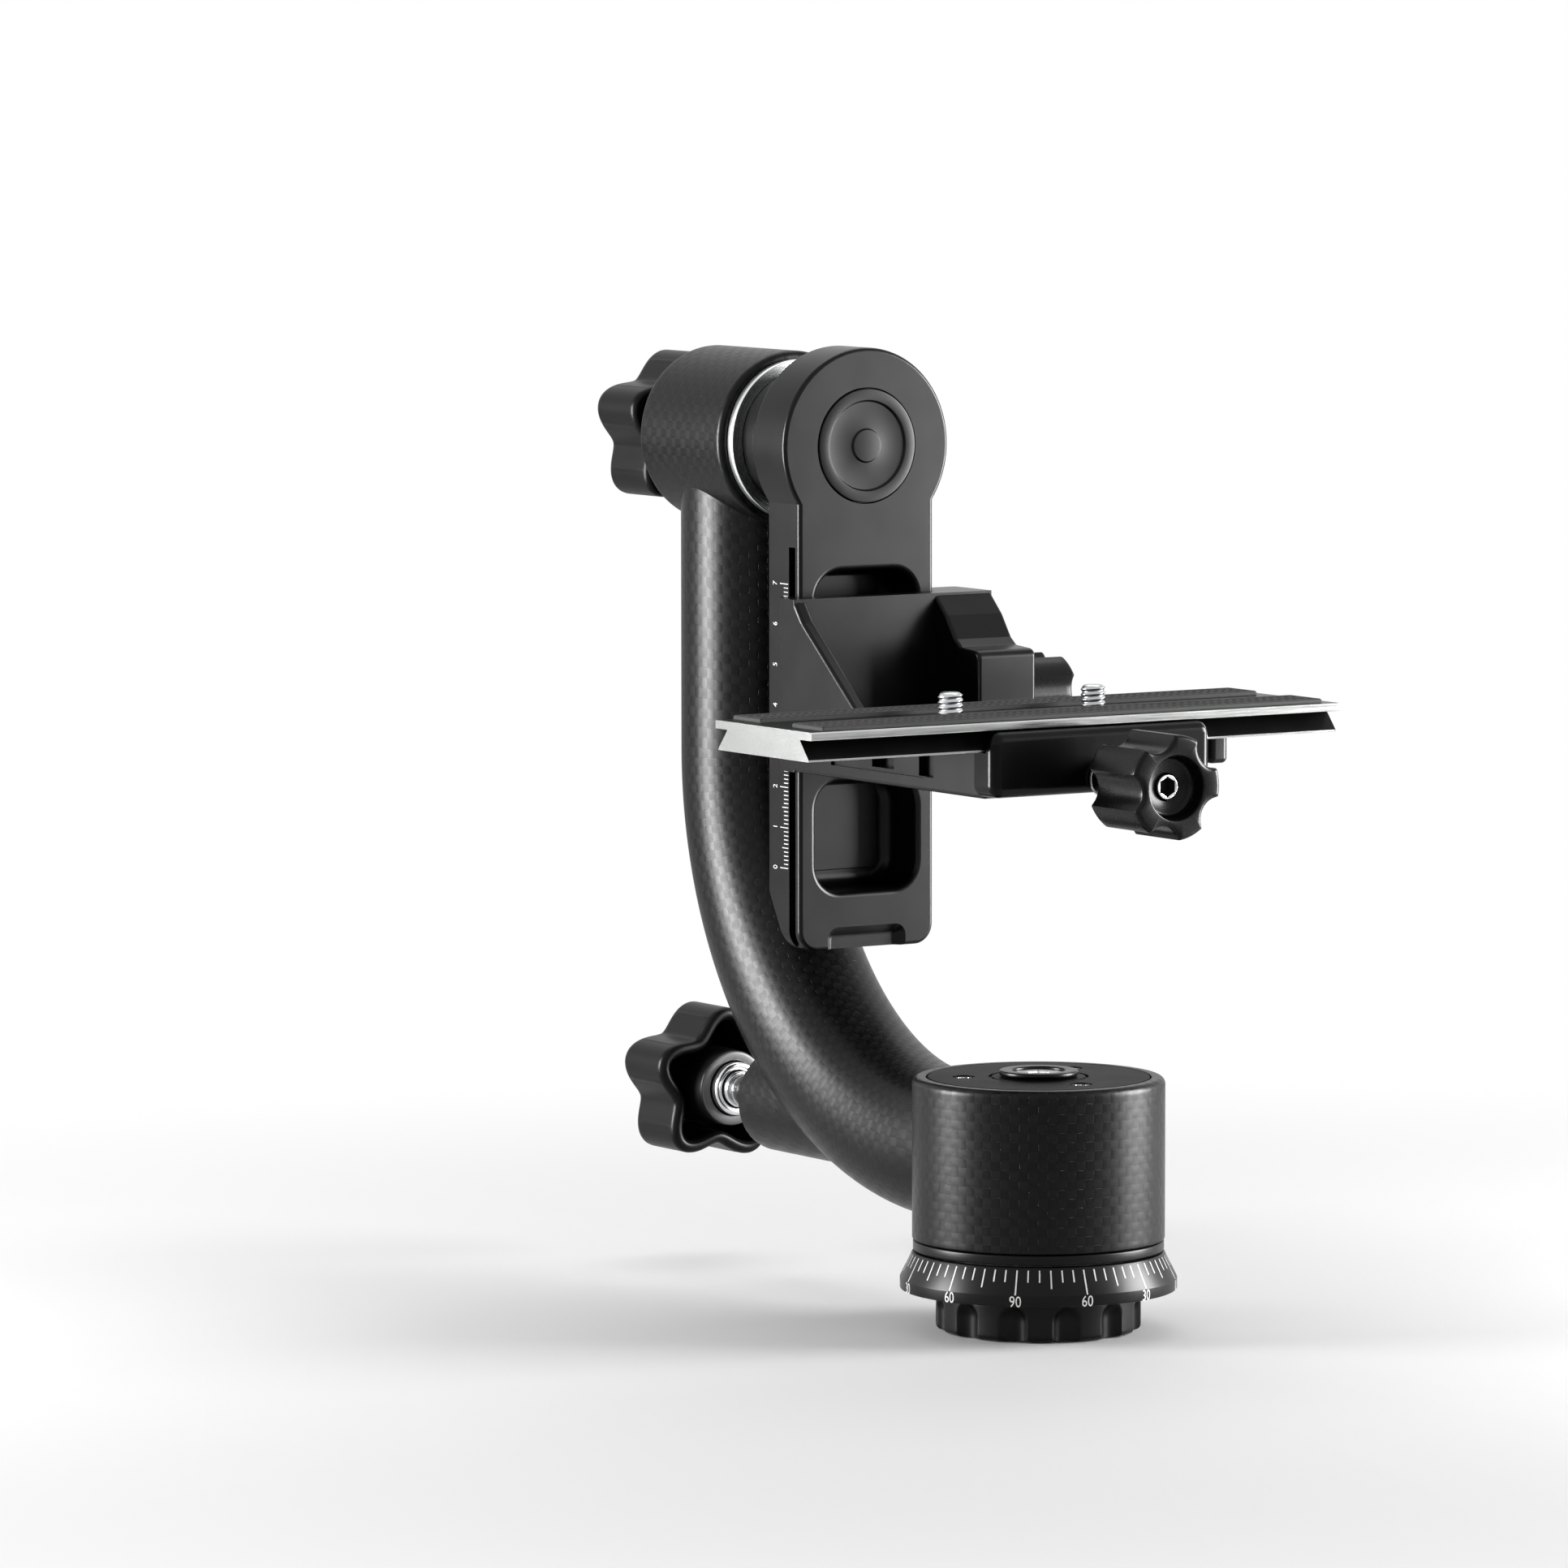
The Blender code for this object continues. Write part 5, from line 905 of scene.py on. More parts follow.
def scallopedReach(knob, phase):
    # smaller of the round outline and of a round cutter between each two lobes, blended
    turn = np.arange(knob["columns"]) * math.tau / knob["columns"]
    step = math.tau / knob["lobes"]
    off = (turn - math.radians(phase)) % step - step / 2
    centre = knob["valley"] + knob["scallop"]
    room = knob["scallop"] ** 2 - (centre * np.sin(off)) ** 2
    hollow = np.where(room > 0, centre * np.cos(off) - np.sqrt(np.maximum(room, 0)), 40.0)
    return turn, smoothLower(knob["radius"], hollow, knob["blend"])


def insetReach(turn, reach, amount):
    # radius of the outline moved in by amount along its own normals, read again at the same angles
    points = offsetOutline(np.stack([reach * np.cos(turn), reach * np.sin(turn)], axis=1), amount)
    angle = np.unwrap(np.arctan2(points[:, 1], points[:, 0]))
    radius = np.hypot(points[:, 0], points[:, 1])
    order = np.argsort(angle % math.tau)
    return np.interp(turn, (angle % math.tau)[order], radius[order], period=math.tau)


def makeBigKnob(name, hubX, height, body, nodes):
    # rows run over the closed back, the lobed side, the rim, the hollow inside and the hub
    k = bigKnob
    turn, reach = lobedReach(k, k["phase"])
    fromCrest = (np.degrees(turn) - k["phase"] + 36) % 72 - 36
    ridge = k["ridge"] * (np.exp(-((fromCrest - k["ridgeAt"]) / 0.8) ** 2)
                          + np.exp(-((fromCrest + k["ridgeAt"]) / 0.8) ** 2))
    rows, levels = [0 * turn], [k["back"]]
    for share in (0.25, 0.5, 0.75):
        rows.append(share * insetReach(turn, reach, 2.6))
        levels.append(k["back"])
    for angle in np.radians(np.linspace(90, 0, 8)):
        rows.append(insetReach(turn, reach, 2.6 * (1 - math.cos(angle))))
        levels.append(k["back"] - 2.6 * (1 - math.sin(angle)))
    for level in np.linspace(k["back"] - 3.2, k["rim"] + 2.2, 6):
        rows.append(reach + ridge)
        levels.append(level)
    for angle in np.radians(np.linspace(0, 90, 7)):
        rows.append(insetReach(turn, reach, 1.6 * (1 - math.cos(angle))))
        levels.append(k["rim"] + 1.6 * (1 - math.sin(angle)))
    for angle in np.radians(np.linspace(90, 0, 5)):
        rows.append(insetReach(turn, reach, k["wall"] + 0.1 - 0.8 * math.cos(math.pi / 2 - angle)))
        levels.append(k["rim"] + 0.8 * (1 - math.sin(angle)))
    inner = insetReach(turn, reach, k["wall"] + 0.1)
    for level in np.linspace(k["rim"] + 2.0, k["floor"] - 1.6, 5):
        rows.append(inner)
        levels.append(level)
    for angle in np.radians(np.linspace(15, 90, 5)):
        rows.append(insetReach(turn, reach, k["wall"] + 0.1 + 1.5 * (1 - math.cos(angle))))
        levels.append(k["floor"] - 1.5 * (1 - math.sin(angle)))
    hubLine = softCorners([(k["hub"] + 0.6, k["floor"]), (k["hub"], 0), (k["bore"], 0),
                           (k["bore"], k["floor"]), (k["hub"] + 0.6, k["floor"] + 4)],
                          [1.0, 0.8, 0.3, 0.1, 0.0], 4)[:19]
    for radius, level in hubLine:
        rows.append(0 * turn + radius)
        levels.append(level)
    rows.append(0 * turn)
    levels.append(k["floor"])
    grid = around(np.stack(rows), np.array(levels), (hubX, 0, height), "left")
    piece = surface(name + "_grip", grid, mattePlastic, sharp=50)
    # the hub's end face takes the lighter grey, a painted highlight of its rounded rim
    secondFinish(piece, hubHighlightGrey, (hubX, 0, height), 0, (-0.4, 0.4), (0, k["hub"] - 0.2))
    fit(piece, body, "knob_black", nodes[0])
    insert = turnedPiece(name + "_sleeve", ringProfile(4.8, 6.7, -2.3, 19.6), (hubX, 0, height), "left",
                         turnedFinish(name + "Chrome", (0.80, 0.80, 0.81), 0.13, (hubX, 0, height), "left"),
                         120, 0.7, closed=True)
    fit(insert, body, "chrome", nodes[1])


def makeStud(name, centre, way, radius, low, high, finish, body, slot, node, collars=()):
    # plain shaft with shallow grooves: radius drops by 0.35 over each groove's width
    profile = [(0, low), (radius, low)]
    for start, width in collars:
        profile += [(radius, start), (radius - 0.35, start + 0.2), (radius - 0.35, start + width - 0.2),
                    (radius, start + width)]
    profile += [(radius, high), (0, high)]
    piece = turnedPiece(name, profile, centre, way, finish, 72, 0.25)
    return fit(piece, body, slot, node)


makeBigKnob("pan_lock", -136.9, panHeight, "pan_lock", ("pan_knob", "pan_knob_insert"))
makeBigKnob("tilt_lock", -149.2, tiltHeight, "tilt_lock", ("tilt_knob", "tilt_knob_insert"))
panChrome = turnedFinish("panScrewChrome", (0.82, 0.82, 0.83), 0.12, (0, 0, panHeight), "left")
tiltChrome = turnedFinish("tiltStudChrome", (0.82, 0.82, 0.83), 0.12, tiltAxis, "left")
studLow, studHigh = nodeSpan("pan_lock_screw", 0)
makeStud("pan_screw", (0, 0, panHeight), "left", 4.5, -studHigh, -studLow, panChrome, "pan_lock", "chrome",
         "pan_lock_screw", ((116.2, 3.2), (131.0, 3.0)))
studLow, studHigh = nodeSpan("tilt_lock_stud", 0)
makeStud("tilt_stud", tiltAxis, "left", 4.5, -studHigh, -studLow, tiltChrome, "tilt_lock", "chrome",
         "tilt_lock_stud")
print("large knobs ready")


def makeSmallKnob(name, centre, way, neckLength, phase, finish, body, node):
    # rows run from the bore at the back over the neck, the lobed grip and its face into the dish
    k = smallKnob
    turn, reach = scallopedReach(k, phase)
    back, face = neckLength, neckLength + k["length"]
    dish = face - k["dishDepth"]
    rows, levels = [0 * turn + k["bore"], 0 * turn + k["neck"] - 0.4, 0 * turn + k["neck"]], [0, 0, 0.4]
    flare = min(1.4, back - 0.6)
    for share in np.linspace(0, 1, 6):
        rows.append(0 * turn + k["neck"] + flare * share ** 2)
        levels.append(back - flare * (1 - share))
    for share in (0.35, 0.7):
        rows.append((1 - share) * (k["neck"] + flare) + share * insetReach(turn, reach, k["backEdge"]))
        levels.append(back)
    for inset, depth in zip(*quarter(k["backEdge"])):
        rows.append(insetReach(turn, reach, inset))
        levels.append(back + depth)
    for level in np.linspace(back + 3.0, face - 2.4, 4):
        rows.append(reach)
        levels.append(level)
    for inset, depth in list(zip(*quarter(k["faceEdge"])))[::-1]:
        rows.append(insetReach(turn, reach, inset))
        levels.append(face - depth)
    for inset, depth in zip(*quarter(k["dishEdge"], 4)):
        rows.append(0 * turn + k["dish"] + inset)
        levels.append(face - depth)
    for radius, level in ((k["dish"] - 0.1, face - 2.0), (k["dish"] - 0.4, dish + 1.2),
                          (k["dish"] - 0.7, dish + 0.5), (k["dish"] - 1.1, dish + 0.15),
                          (k["dish"] - 1.7, dish), (k["bore"] + 0.3, dish), (k["bore"], dish - 0.3)):
        rows.append(0 * turn + radius)
        levels.append(level)
    grid = around(np.stack(rows), np.array(levels), centre, way)
    piece = surface(name, grid, finish, closed=True, sharp=50)
    return fit(piece, body, "knob_black", node)


makeSmallKnob("clamp_grip", (25.6, clampY, clampZ), "right", 9.0, 3.4, smoothPlastic, "clamp_screw",
              "clamp_knob")
makeSmallKnob("height_grip", (lockX, 33.3, lockZ), "back", 2.7, 50.6, smoothPlastic, "height_lock",
              "height_knob")
# the depths and radii at the end bound the inside of the hex socket, which is painted near-black as shade
hexStud = {"radius": 2.9, "flat": 2.1, "depth": 3.6, "edge": 0.15, "socketShadeDepths": (-6, -0.1),
           "socketShadeRadii": (0, 2.43)}
h = hexStud
studLow, studHigh = nodeSpan("clamp_stud", 0)
clampSteel = turnedFinish("clampStudSteel", (0.78, 0.78, 0.79), 0.2, clampAxis, "right")
clampStud = socketHead("clamp_hex_stud", h["radius"], h["flat"], h["depth"], studLow, studHigh, clampAxis,
                       "right", clampSteel, h["edge"])
# inside of the clamp stud's hex socket painted near-black: painted shade
secondFinish(clampStud, socketShadeSteel, (studHigh, clampY, clampZ), 0, h["socketShadeDepths"], h["socketShadeRadii"])
fit(clampStud, "clamp_screw", "chrome", "clamp_stud")
studLow, studHigh = nodeSpan("height_lock_stud", 1)
heightStud = socketHead("height_hex_stud", h["radius"], h["flat"], h["depth"], studLow, studHigh, heightAxis,
                        "back", plainSteel, h["edge"])
# inside of the height stud's hex socket painted near-black: painted shade
secondFinish(heightStud, socketShadeSteel, (lockX, studHigh, lockZ), 1, h["socketShadeDepths"], h["socketShadeRadii"])
fit(heightStud, "height_lock", "steel", "height_lock_stud")
washer = turnedPiece("clamp_ring", ringProfile(3.2, 4.4, 24.3, 25.3), clampAxis, "right", plainSteel, 72,
                     0.2, closed=True)
fit(washer, "clamp_screw", "steel", "clamp_washer")
print("small knobs ready")


# swing arm casting with its rail, pockets and ruler

swing = {"face": -75.5, "back": -90.0, "half": 19.6, "bottom": 84.7, "hub": 24.0, "corner": 5.0,
         "grooveBack": -80.3, "grooveFront": -77.4, "neck": 17.2, "railTop": 184.0, "pocketHalf": 14.7,
         "pocketCorner": 7.0, "pocketFloor": -87.5, "notchHalf": 10.5, "notchHeight": 4.6, "notchDepth": 2.5,
         "taperHeight": 15.0, "taperDepth": 8.5, "edge": 1.0, "rim": 1.3,
         "split": 126.3, "rib": 6.0, "pocketLow": 98.8, "pocketTop": 178.0}


def makeSwingArm():
    # round hub and rectangle in one casting: grooves, pockets, notch, taper and seats are cut in, pads joined
    s = swing
    reach = math.degrees(math.asin(s["half"] / s["hub"]))
    hub = arcPoints(0, tiltHeight, s["hub"], -(90 - reach), 180 + (90 - reach), 72)
    lower = [arcPoints(side * (s["half"] - s["corner"]), s["bottom"] + s["corner"], s["corner"],
                       start, start + 90, 10) for side, start in ((-1, 180), (1, 270))]
    outline = np.vstack([hub] + lower)
    arm = prismPiece("arm_casting", outline, 0, s["back"], s["face"], None, s["edge"])
    tools = [join(rodPiece("boss", tiltAxis, "right", 17.0, -105.3, -89.0, 120))]
    for side in (-1, 1):
        near, far = sorted((side * s["neck"], side * 60))
        groove = box2(s["grooveBack"], near, s["grooveFront"], far)
        tools.append(cut(prismPiece("groove%d" % (side + 1), groove, 2, s["bottom"] - 5, s["railTop"])))
    # pockets: a flared rim, straight walls, a hollow foot and a raised pad on the floor
    flare, depth = quarter(s["rim"])
    floor, wide = s["pocketFloor"], s["pocketHalf"]
    levels = np.concatenate([[s["face"] + 2], s["face"] - depth, floor + np.array([2.6, 1.4, 0.6, 0.15, 0])])
    grown = np.concatenate([[-s["rim"]], -flare, [0.3, 0.8, 1.5, 2.4, 3.4]])
    for low, high in ((s["pocketLow"], s["split"]), (s["split"] + s["rib"], s["pocketTop"])):
        tools.append(cut(pillowPiece("pocket%d" % low, (-wide, low), (wide, high), 0, levels, grown,
                                     s["pocketCorner"])))
        pad = pillowPiece("pad%d" % low, (-wide + 4.2, low + 4.3), (wide - 4.2, high - 1.9), 0,
                          np.array([floor - 1, floor + 0.25, floor + 0.5, floor + 0.6]),
                          np.array([0, 0, 0.08, 0.35]), 2.2)
        tools.append(join(pad))
    # thumb notch under the lower edge, its walls sloping in towards the floor
    deep = s["face"] - s["notchDepth"]
    levels = np.array([s["face"] + 1.5, s["face"] + 0.2, s["face"] - 0.3, deep + 0.7, deep + 0.1, deep])
    tools.append(cut(pillowPiece("notch", (-s["notchHalf"] - 0.6, s["bottom"] - 9),
                                 (s["notchHalf"] + 0.6, s["bottom"] + s["notchHeight"] + 0.6), 0, levels,
                                 np.array([-0.8, -0.5, 0.0, 1.3, 1.9, 2.4]), 2.6)))
    slope = s["taperDepth"] / s["taperHeight"]
    behind, under, over = s["back"] - 2, s["bottom"] - 2, s["bottom"] + s["taperHeight"] + 2
    wedge = [(behind, under), (s["back"] + s["taperDepth"] + 2 * slope, under),
             (s["back"] - 2 * slope, over), (behind, over)]
    tools.append(cut(prismPiece("taper", wedge, 1, -60, 60)))
    tools.append(cut(rodPiece("coverSeat", tiltAxis, "right", 14.3, -77.7, -74, 120)))
    tools.append(cut(rodPiece("axleBore", tiltAxis, "right", 8.0, -110, -74, 96)))
    carve(arm, tools)
    cast(arm, 0.35, 3, glossCasting)
    fit(arm, "swing_arm", "gloss_black", "swing_arm")
    coverLine = [(0, -77.4), (14.0, -77.4), (14.0, -75.2), (11.2, -75.2), (10.8, -75.7), (4.2, -75.7),
                 (3.9, -75.3), (0, -75.3)]
    cover = turnedPiece("hub_lid", coverLine, tiltAxis, "right", satinAnodised, 144, 0.25)
    fit(cover, "swing_arm", "satin_black", "hub_cover")
    spacerMetal = turnedFinish("spacerMetal", (0.80, 0.81, 0.82), 0.25, tiltAxis, "right")
    spacer = turnedPiece("hub_spacer", ringProfile(8.0, 20.0, -108.0, -105.6), tiltAxis, "right", spacerMetal,
                         144, 0.35, closed=True)
    fit(spacer, "swing_arm", "bare_aluminium", "hub_washer")


ruler = {"zero": 104.9, "step": 10.0, "last": 70, "inner": -80.7, "short": 1.9, "medium": 2.7, "long": 3.6,
         "stroke": 0.22, "textSize": 2.6, "narrow": 0.85, "textX": -86.6}


def makeRuler():
    # millimetre strokes from the rail's side of the strip and numbers turned a quarter, on y = -half width
    r = ruler

    def lay(points, height):
        # points: x = height above the zero stroke's foot, y = distance back from the inner edge
        return np.stack([r["inner"] - points[:, 1], np.full(len(points), -swing["half"] - height),
                         r["zero"] + points[:, 0]], axis=1)

    marks = np.arange(0, r["last"] + 1.0)
    reach = np.where(marks % 10 == 0, r["long"], np.where(marks % 5 == 0, r["medium"], r["short"]))
    drawn = strokes(marks, np.full(len(marks), r["stroke"]), np.zeros(len(marks)), reach)
    inked("ruler_strokes", [drawn], lay, "swing_arm")
    numbers = []
    for k in range(int(r["last"] / r["step"]) + 1):
        points, faces = flatText(str(k), r["textSize"], r["narrow"])
        numbers.append((points + [k * r["step"], r["inner"] - r["textX"]], faces))
    inked("ruler_numbers", numbers, lay, "swing_arm")


makeSwingArm()
makeRuler()
print("swing arm and ruler ready")


# platform bracket

bracket = {"back": -75.2, "face": -69.5, "low": 129.8, "high": 172.0, "half": 25.0, "shelfTop": 141.45,
           "shelfEnd": 14.9, "hookBack": -80.0, "hookFront": -77.7, "hookTip": 17.5, "hookRoot": 19.9,
           "cheekIn": 16.0, "cheekOut": 33.0, "cheekBack": -86.0, "cheekFront": -50.0, "edge": 1.0}


def pinHoles(name, low, high):
    # both guide pins' holes, at pinReach to either side of the clamp screw
    return [cut(rodPiece(name + str(side + 1), (0, clampY + side * pinReach, clampZ), "right", 2.3, low, high))
            for side in (-1, 1)]


def makeBracket():
    # upright wall that hooks round the rail, joined with shelf, gusset, cheek and fixed jaw, then drilled
    b = bracket
    back, face, half, low = b["back"], b["face"], b["half"], b["low"]
    hookBack, hookFront, tip, foot = b["hookBack"], b["hookFront"], b["hookTip"], b["hookRoot"]
    wall = [(face, -half), (back - 0.7, -half), (hookBack, -22.3), (hookBack, -tip), (hookFront, -tip),
            (hookFront, -foot), (back, -foot), (back, foot), (hookFront, foot), (hookFront, tip),
            (hookBack, tip), (hookBack, foot), (b["cheekBack"], foot), (b["cheekBack"], b["cheekOut"]),
            (face, b["cheekOut"])]
    wall = softCorners(wall, [0.3, 1.2, 1.0, 0.4, 0.4, 0.3, 0.3, 0.3, 0.3, 0.4, 0.4, 0.3, 1.0, 1.2, 0.3], 5)
    piece = prismPiece("platform_casting", wall, 2, low, b["high"])
    # shelf, side gusset and rear cheek reach root deep into the wall, so their round ends vanish in it
    root, seat, shelfTop = face - 2.5, back + 0.3, b["shelfTop"]
    shoulder, peak = low + 29.0, low + 36.9
    shelfSide = [(seat, low), (b["shelfEnd"], low), (b["shelfEnd"], shelfTop), (seat, shelfTop)]
    gusset = [(root, shelfTop - 2.5), (face + 37.2, shelfTop - 2.5), (face + 3.6, peak),
              (face - 0.3, b["high"] - 0.3), (root, b["high"] - 0.3)]
    cheek = [(root, low), (b["cheekFront"], low), (b["cheekFront"], shoulder), (face + 11.5, shoulder + 0.6),
             (face + 9.0, shoulder + 2.4), (face + 5.0, peak), (face - 0.3, b["high"] - 0.3),
             (root, b["high"] - 0.3)]
    fixed = [(-23.2, shelfTop - 0.3), (-19.2, shelfTop - 0.3), (-19.2, 142.2), (-16.2, 146.5), (-23.2, 146.5)]
    fixed = softCorners(fixed, [0.3, 0.2, 0.2, 0.4, 0.8], 4)
    tools = [join(cornerPrism("shelf", shelfSide, [2.4, 2.4, 0.3, 0.3], 1, -half, half, b["edge"])),
             join(cornerPrism("gusset", gusset, [0.3, 0.3, 5, 3, 0.3], 1, -half, -half + 3.5, b["edge"])),
             join(cornerPrism("cheek", cheek, [2, 2, 2, 1.2, 1.2, 2, 2, 0.3], 1, b["cheekIn"], b["cheekOut"],
                              b["edge"])),
             join(prismPiece("fixedJaw", fixed, 1, -21, 21))]
    for name, lowX, highX, under, over, depth in (("panel", -53.0, -11.75, 132.9, 140.25, 0.8),
                                                  ("slot", -15.5, -8.0, 133.2, 139.95, 3.0),
                                                  ("notch", -36.0, -26.4, 133.8, 136.4, 4.0)):
        tools.append(cut(prismPiece(name, box2(lowX, under, highX, over), 1, -half - 2, -half + depth)))
    tools.append(cut(rodPiece("screwHole", clampAxis, "right", 3.2, -5.4, 16)))
    tools += pinHoles("pinHole", 0.6, 16)
    tools.append(cut(rodPiece("lockHole", heightAxis, "back", 3.2, 19.6, 35)))
    carve(piece, tools)
    cast(piece, 0.5, 3, glossCasting)
    fit(piece, "platform", "gloss_black", "platform_bracket")


makeBracket()


# moving jaw

jaw = {"inner": 15.5, "outer": 24.0, "low": 130.8, "high": 146.5, "front": -29.25, "rear": 33.45,
       "groove": 20.8,"edge": 2.4}


def makeJaw():
    # rounded bar lying across the shelf's end; its inner top corner is cut to hold the plate's dovetail
    j = jaw
    insets, depths = quarter(j["edge"], 8)
    levels = np.concatenate([[j["inner"], j["inner"] + 0.4], j["outer"] - depths[::-1]])
    piece = pillowPiece("jaw_casting", (j["front"], j["low"]), (j["rear"], j["high"]), 0, levels,
                        np.concatenate([[0.4, 0], insets[::-1]]), 3.0)
    seat = [(10, 141.45), (j["groove"], 141.45), (j["groove"], 142.2), (j["groove"] - 3.0, 146.5),
            (j["groove"] - 3.0, 150), (10, 150)]
    tools = [cut(prismPiece("seat", seat, 1, j["front"] - 5, j["rear"] + 5)),
             cut(rodPiece("jawScrewHole", clampAxis, "right", 3.2, 14, 26))] + pinHoles("jawPinHole", 14, 22.3)
    carve(piece, tools)
    cast(piece, 0.3, 3, jawCasting)
    fit(piece, "jaw", "gloss_black", "clamp_jaw")


makeJaw()
print("platform and jaw ready")


# quick release plate with its rubber strips and stop

plate = {"centre": 0.8, "front": -78.6, "rear": 72.5, "stopY": 48.7}


def makePlate():
    # dovetail section carried along Y, slot and channel cut out, ends and lips in bare metal
    p = plate
    right = [(19.7, 141.75), (19.7, 142.2), (16.0, 146.5), (16.0, 146.8), (21.0, 146.8), (21.0, 148.8)]
    outline = [(p["centre"] + x, z) for x, z in right] + [(p["centre"] - x, z) for x, z in right[::-1]]
    outline = softCorners(outline, [0.12, 0.1, 0.3, 0.2, 0.25, 0.3] + [0.3, 0.25, 0.2, 0.3, 0.1, 0.12], 3)
    piece = prismPiece("plate_body", outline, 1, p["front"], p["rear"])
    slot = softCorners(box2(p["centre"] - 3.4, -62.0, p["centre"] + 3.4, 40.0), 3.39, 10)
    channel = softCorners(box2(p["centre"] - 6.0, -64.6, p["centre"] + 6.0, 42.6), 5.99, 10)
    tools = [cut(prismPiece("slotCut", slot, 2, 140, 151)),
             cut(prismPiece("channelCut", channel, 2, 140, 145.55)),
             cut(rodPiece("stopHole", (p["centre"], p["stopY"], 0), "up", 2.1, 140, 146.8))]
    carve(piece, tools)
    cast(piece, 0.22, 2)
    mesh = piece.data
    mesh.materials.clear()
    mesh.materials.append(plateAnodised)
    mesh.materials.append(bareMetal)
    normals = np.zeros(len(mesh.polygons) * 3)
    mesh.polygons.foreach_get("normal", normals)
    normals = normals.reshape(-1, 3)
    centres = np.zeros(len(mesh.polygons) * 3)
    mesh.polygons.foreach_get("center", centres)
    centres = centres.reshape(-1, 3) / mm
    outwardX, outwardY = np.abs(normals[:, 0]), np.abs(normals[:, 1])
    aside = np.abs(centres[:, 0] - p["centre"])
    ends = (outwardY > 0.4) & ((centres[:, 1] < p["front"] + 0.6) | (centres[:, 1] > p["rear"] - 0.6))
    rims = (outwardX > 0.35) & (aside > 20.6)
    lips = (outwardX > 0.35) & (aside > 19.3) & (centres[:, 2] < 142.35)
    mesh.polygons.foreach_set("material_index", (ends | rims | lips).astype(np.int32))
    fit(piece, "plate", "bare_aluminium", "qr_plate")


rubber = {"front": -74.6, "rear": 68.5, "low": 148.83, "high": 149.9, "rib": 2.2, "depth": 0.42, "edge": 0.35}


def makeRubber(name, inside, outside, node):
    # ribbed pad: height = top - depth * ripple, the ripple's phase zigzags across the pad, round edges
    r = rubber
    left, right = sorted((inside, outside))
    x = np.linspace(left, right, 57)
    y = np.linspace(r["front"], r["rear"], 521)
    away = np.minimum(x - left, right - x)
    fold = np.abs(((x - left) / (right - left) * 4) % 2 - 1) * 1.6
    ripple = 0.5 - 0.5 * np.cos(math.tau * (y[:, None] + fold[None, :]) / r["rib"])
    ends = np.minimum(y - r["front"], r["rear"] - y)
    frameShare = np.clip((away - 1.0) / 0.4, 0, 1)[None, :] * np.clip((ends - 1.0) / 0.4, 0, 1)[:, None]
    near = np.minimum(away[None, :], ends[:, None])
    drop = r["edge"] - np.sqrt(np.maximum(r["edge"] ** 2 - np.maximum(r["edge"] - near, 0) ** 2, 0))
    top = r["high"] - r["depth"] * ripple * frameShare - drop
    under = np.linspace(right, left, 9)
    rowX = np.concatenate([x, under])
    grid = np.zeros((len(y), len(rowX), 3))
    grid[..., 0] = rowX
    grid[..., 1] = y[:, None]
    grid[:, :len(x), 2] = top
    grid[:, len(x):, 2] = r["low"]
    piece = surface(name, grid, softRubber, sharp=60)
    fit(piece, "plate", "rubber", node)


makePlate()
makeRubber("rubber_pad_left", -6.8, -18.6, "rubber_strip_left")
makeRubber("rubber_pad_right", 7.2, 20.2, "rubber_strip_right")
stopEdge, stopDepth = quarter(1.3)
stop = pillowPiece("plate_stop_block", (-4.2, 45.9), (5.8, 51.5), 2,
                   np.concatenate([134.05 + stopDepth, [141.1, 141.45]]),
                   np.concatenate([stopEdge, [0, 0.3]]), 1.7)
carve(stop, [join(rodPiece("stopShank", (plate["centre"], plate["stopY"], 0), "up", 1.8, 141.0, 146.5, 40))])
cast(stop, 0.2, 2, glossCasting)
fit(stop, "plate", "gloss_black", "plate_stop")


def makeCameraScrew(name, y, body, node):
    # threaded screw: r = root + depth * triangle wave of (height / pitch - turn), with a flat head in the
    # channel
    s = {"head": 5.5, "headLow": 141.75, "headHigh": 145.25, "radius": 3.0, "depth": 0.45, "pitch": 1.27,
         "tip": 154.4, "columns": 72}
    turn = np.arange(s["columns"]) / s["columns"]
    levels = np.linspace(s["headHigh"] + 0.4, s["tip"] - 0.6, 90)
    wave = 1 - np.abs((levels[:, None] / s["pitch"] - turn[None, :]) % 1 - 0.5) * 2
    thread = s["radius"] - s["depth"] * wave
    head = np.array([(0, s["headLow"]), (s["head"] - 0.3, s["headLow"]), (s["head"], s["headLow"] + 0.3),
                     (s["head"], s["headHigh"] - 0.3), (s["head"] - 0.3, s["headHigh"]), (2.6, s["headHigh"])])
    tip = np.array([(s["radius"] - 0.5, s["tip"] - 0.3), (s["radius"] - 0.9, s["tip"]), (0, s["tip"])])
    radii = np.vstack([head[:, :1] + 0 * turn, thread, tip[:, :1] + 0 * turn])
    heights = np.concatenate([head[:, 1], levels, tip[:, 1]])
    piece = surface(name, around(radii, heights, (plate["centre"], y, 0), "up"), plainSteel, sharp=60)
    fit(piece, body, "steel", node)


makeCameraScrew("camera_thread_front", -26.0, "front_camera_screw", "camera_screw_front")
makeCameraScrew("camera_thread_rear", 15.0, "rear_camera_screw", "camera_screw_rear")
print("plate, rubber and camera screws ready")


# the CAD nodes that stay, each with its finish

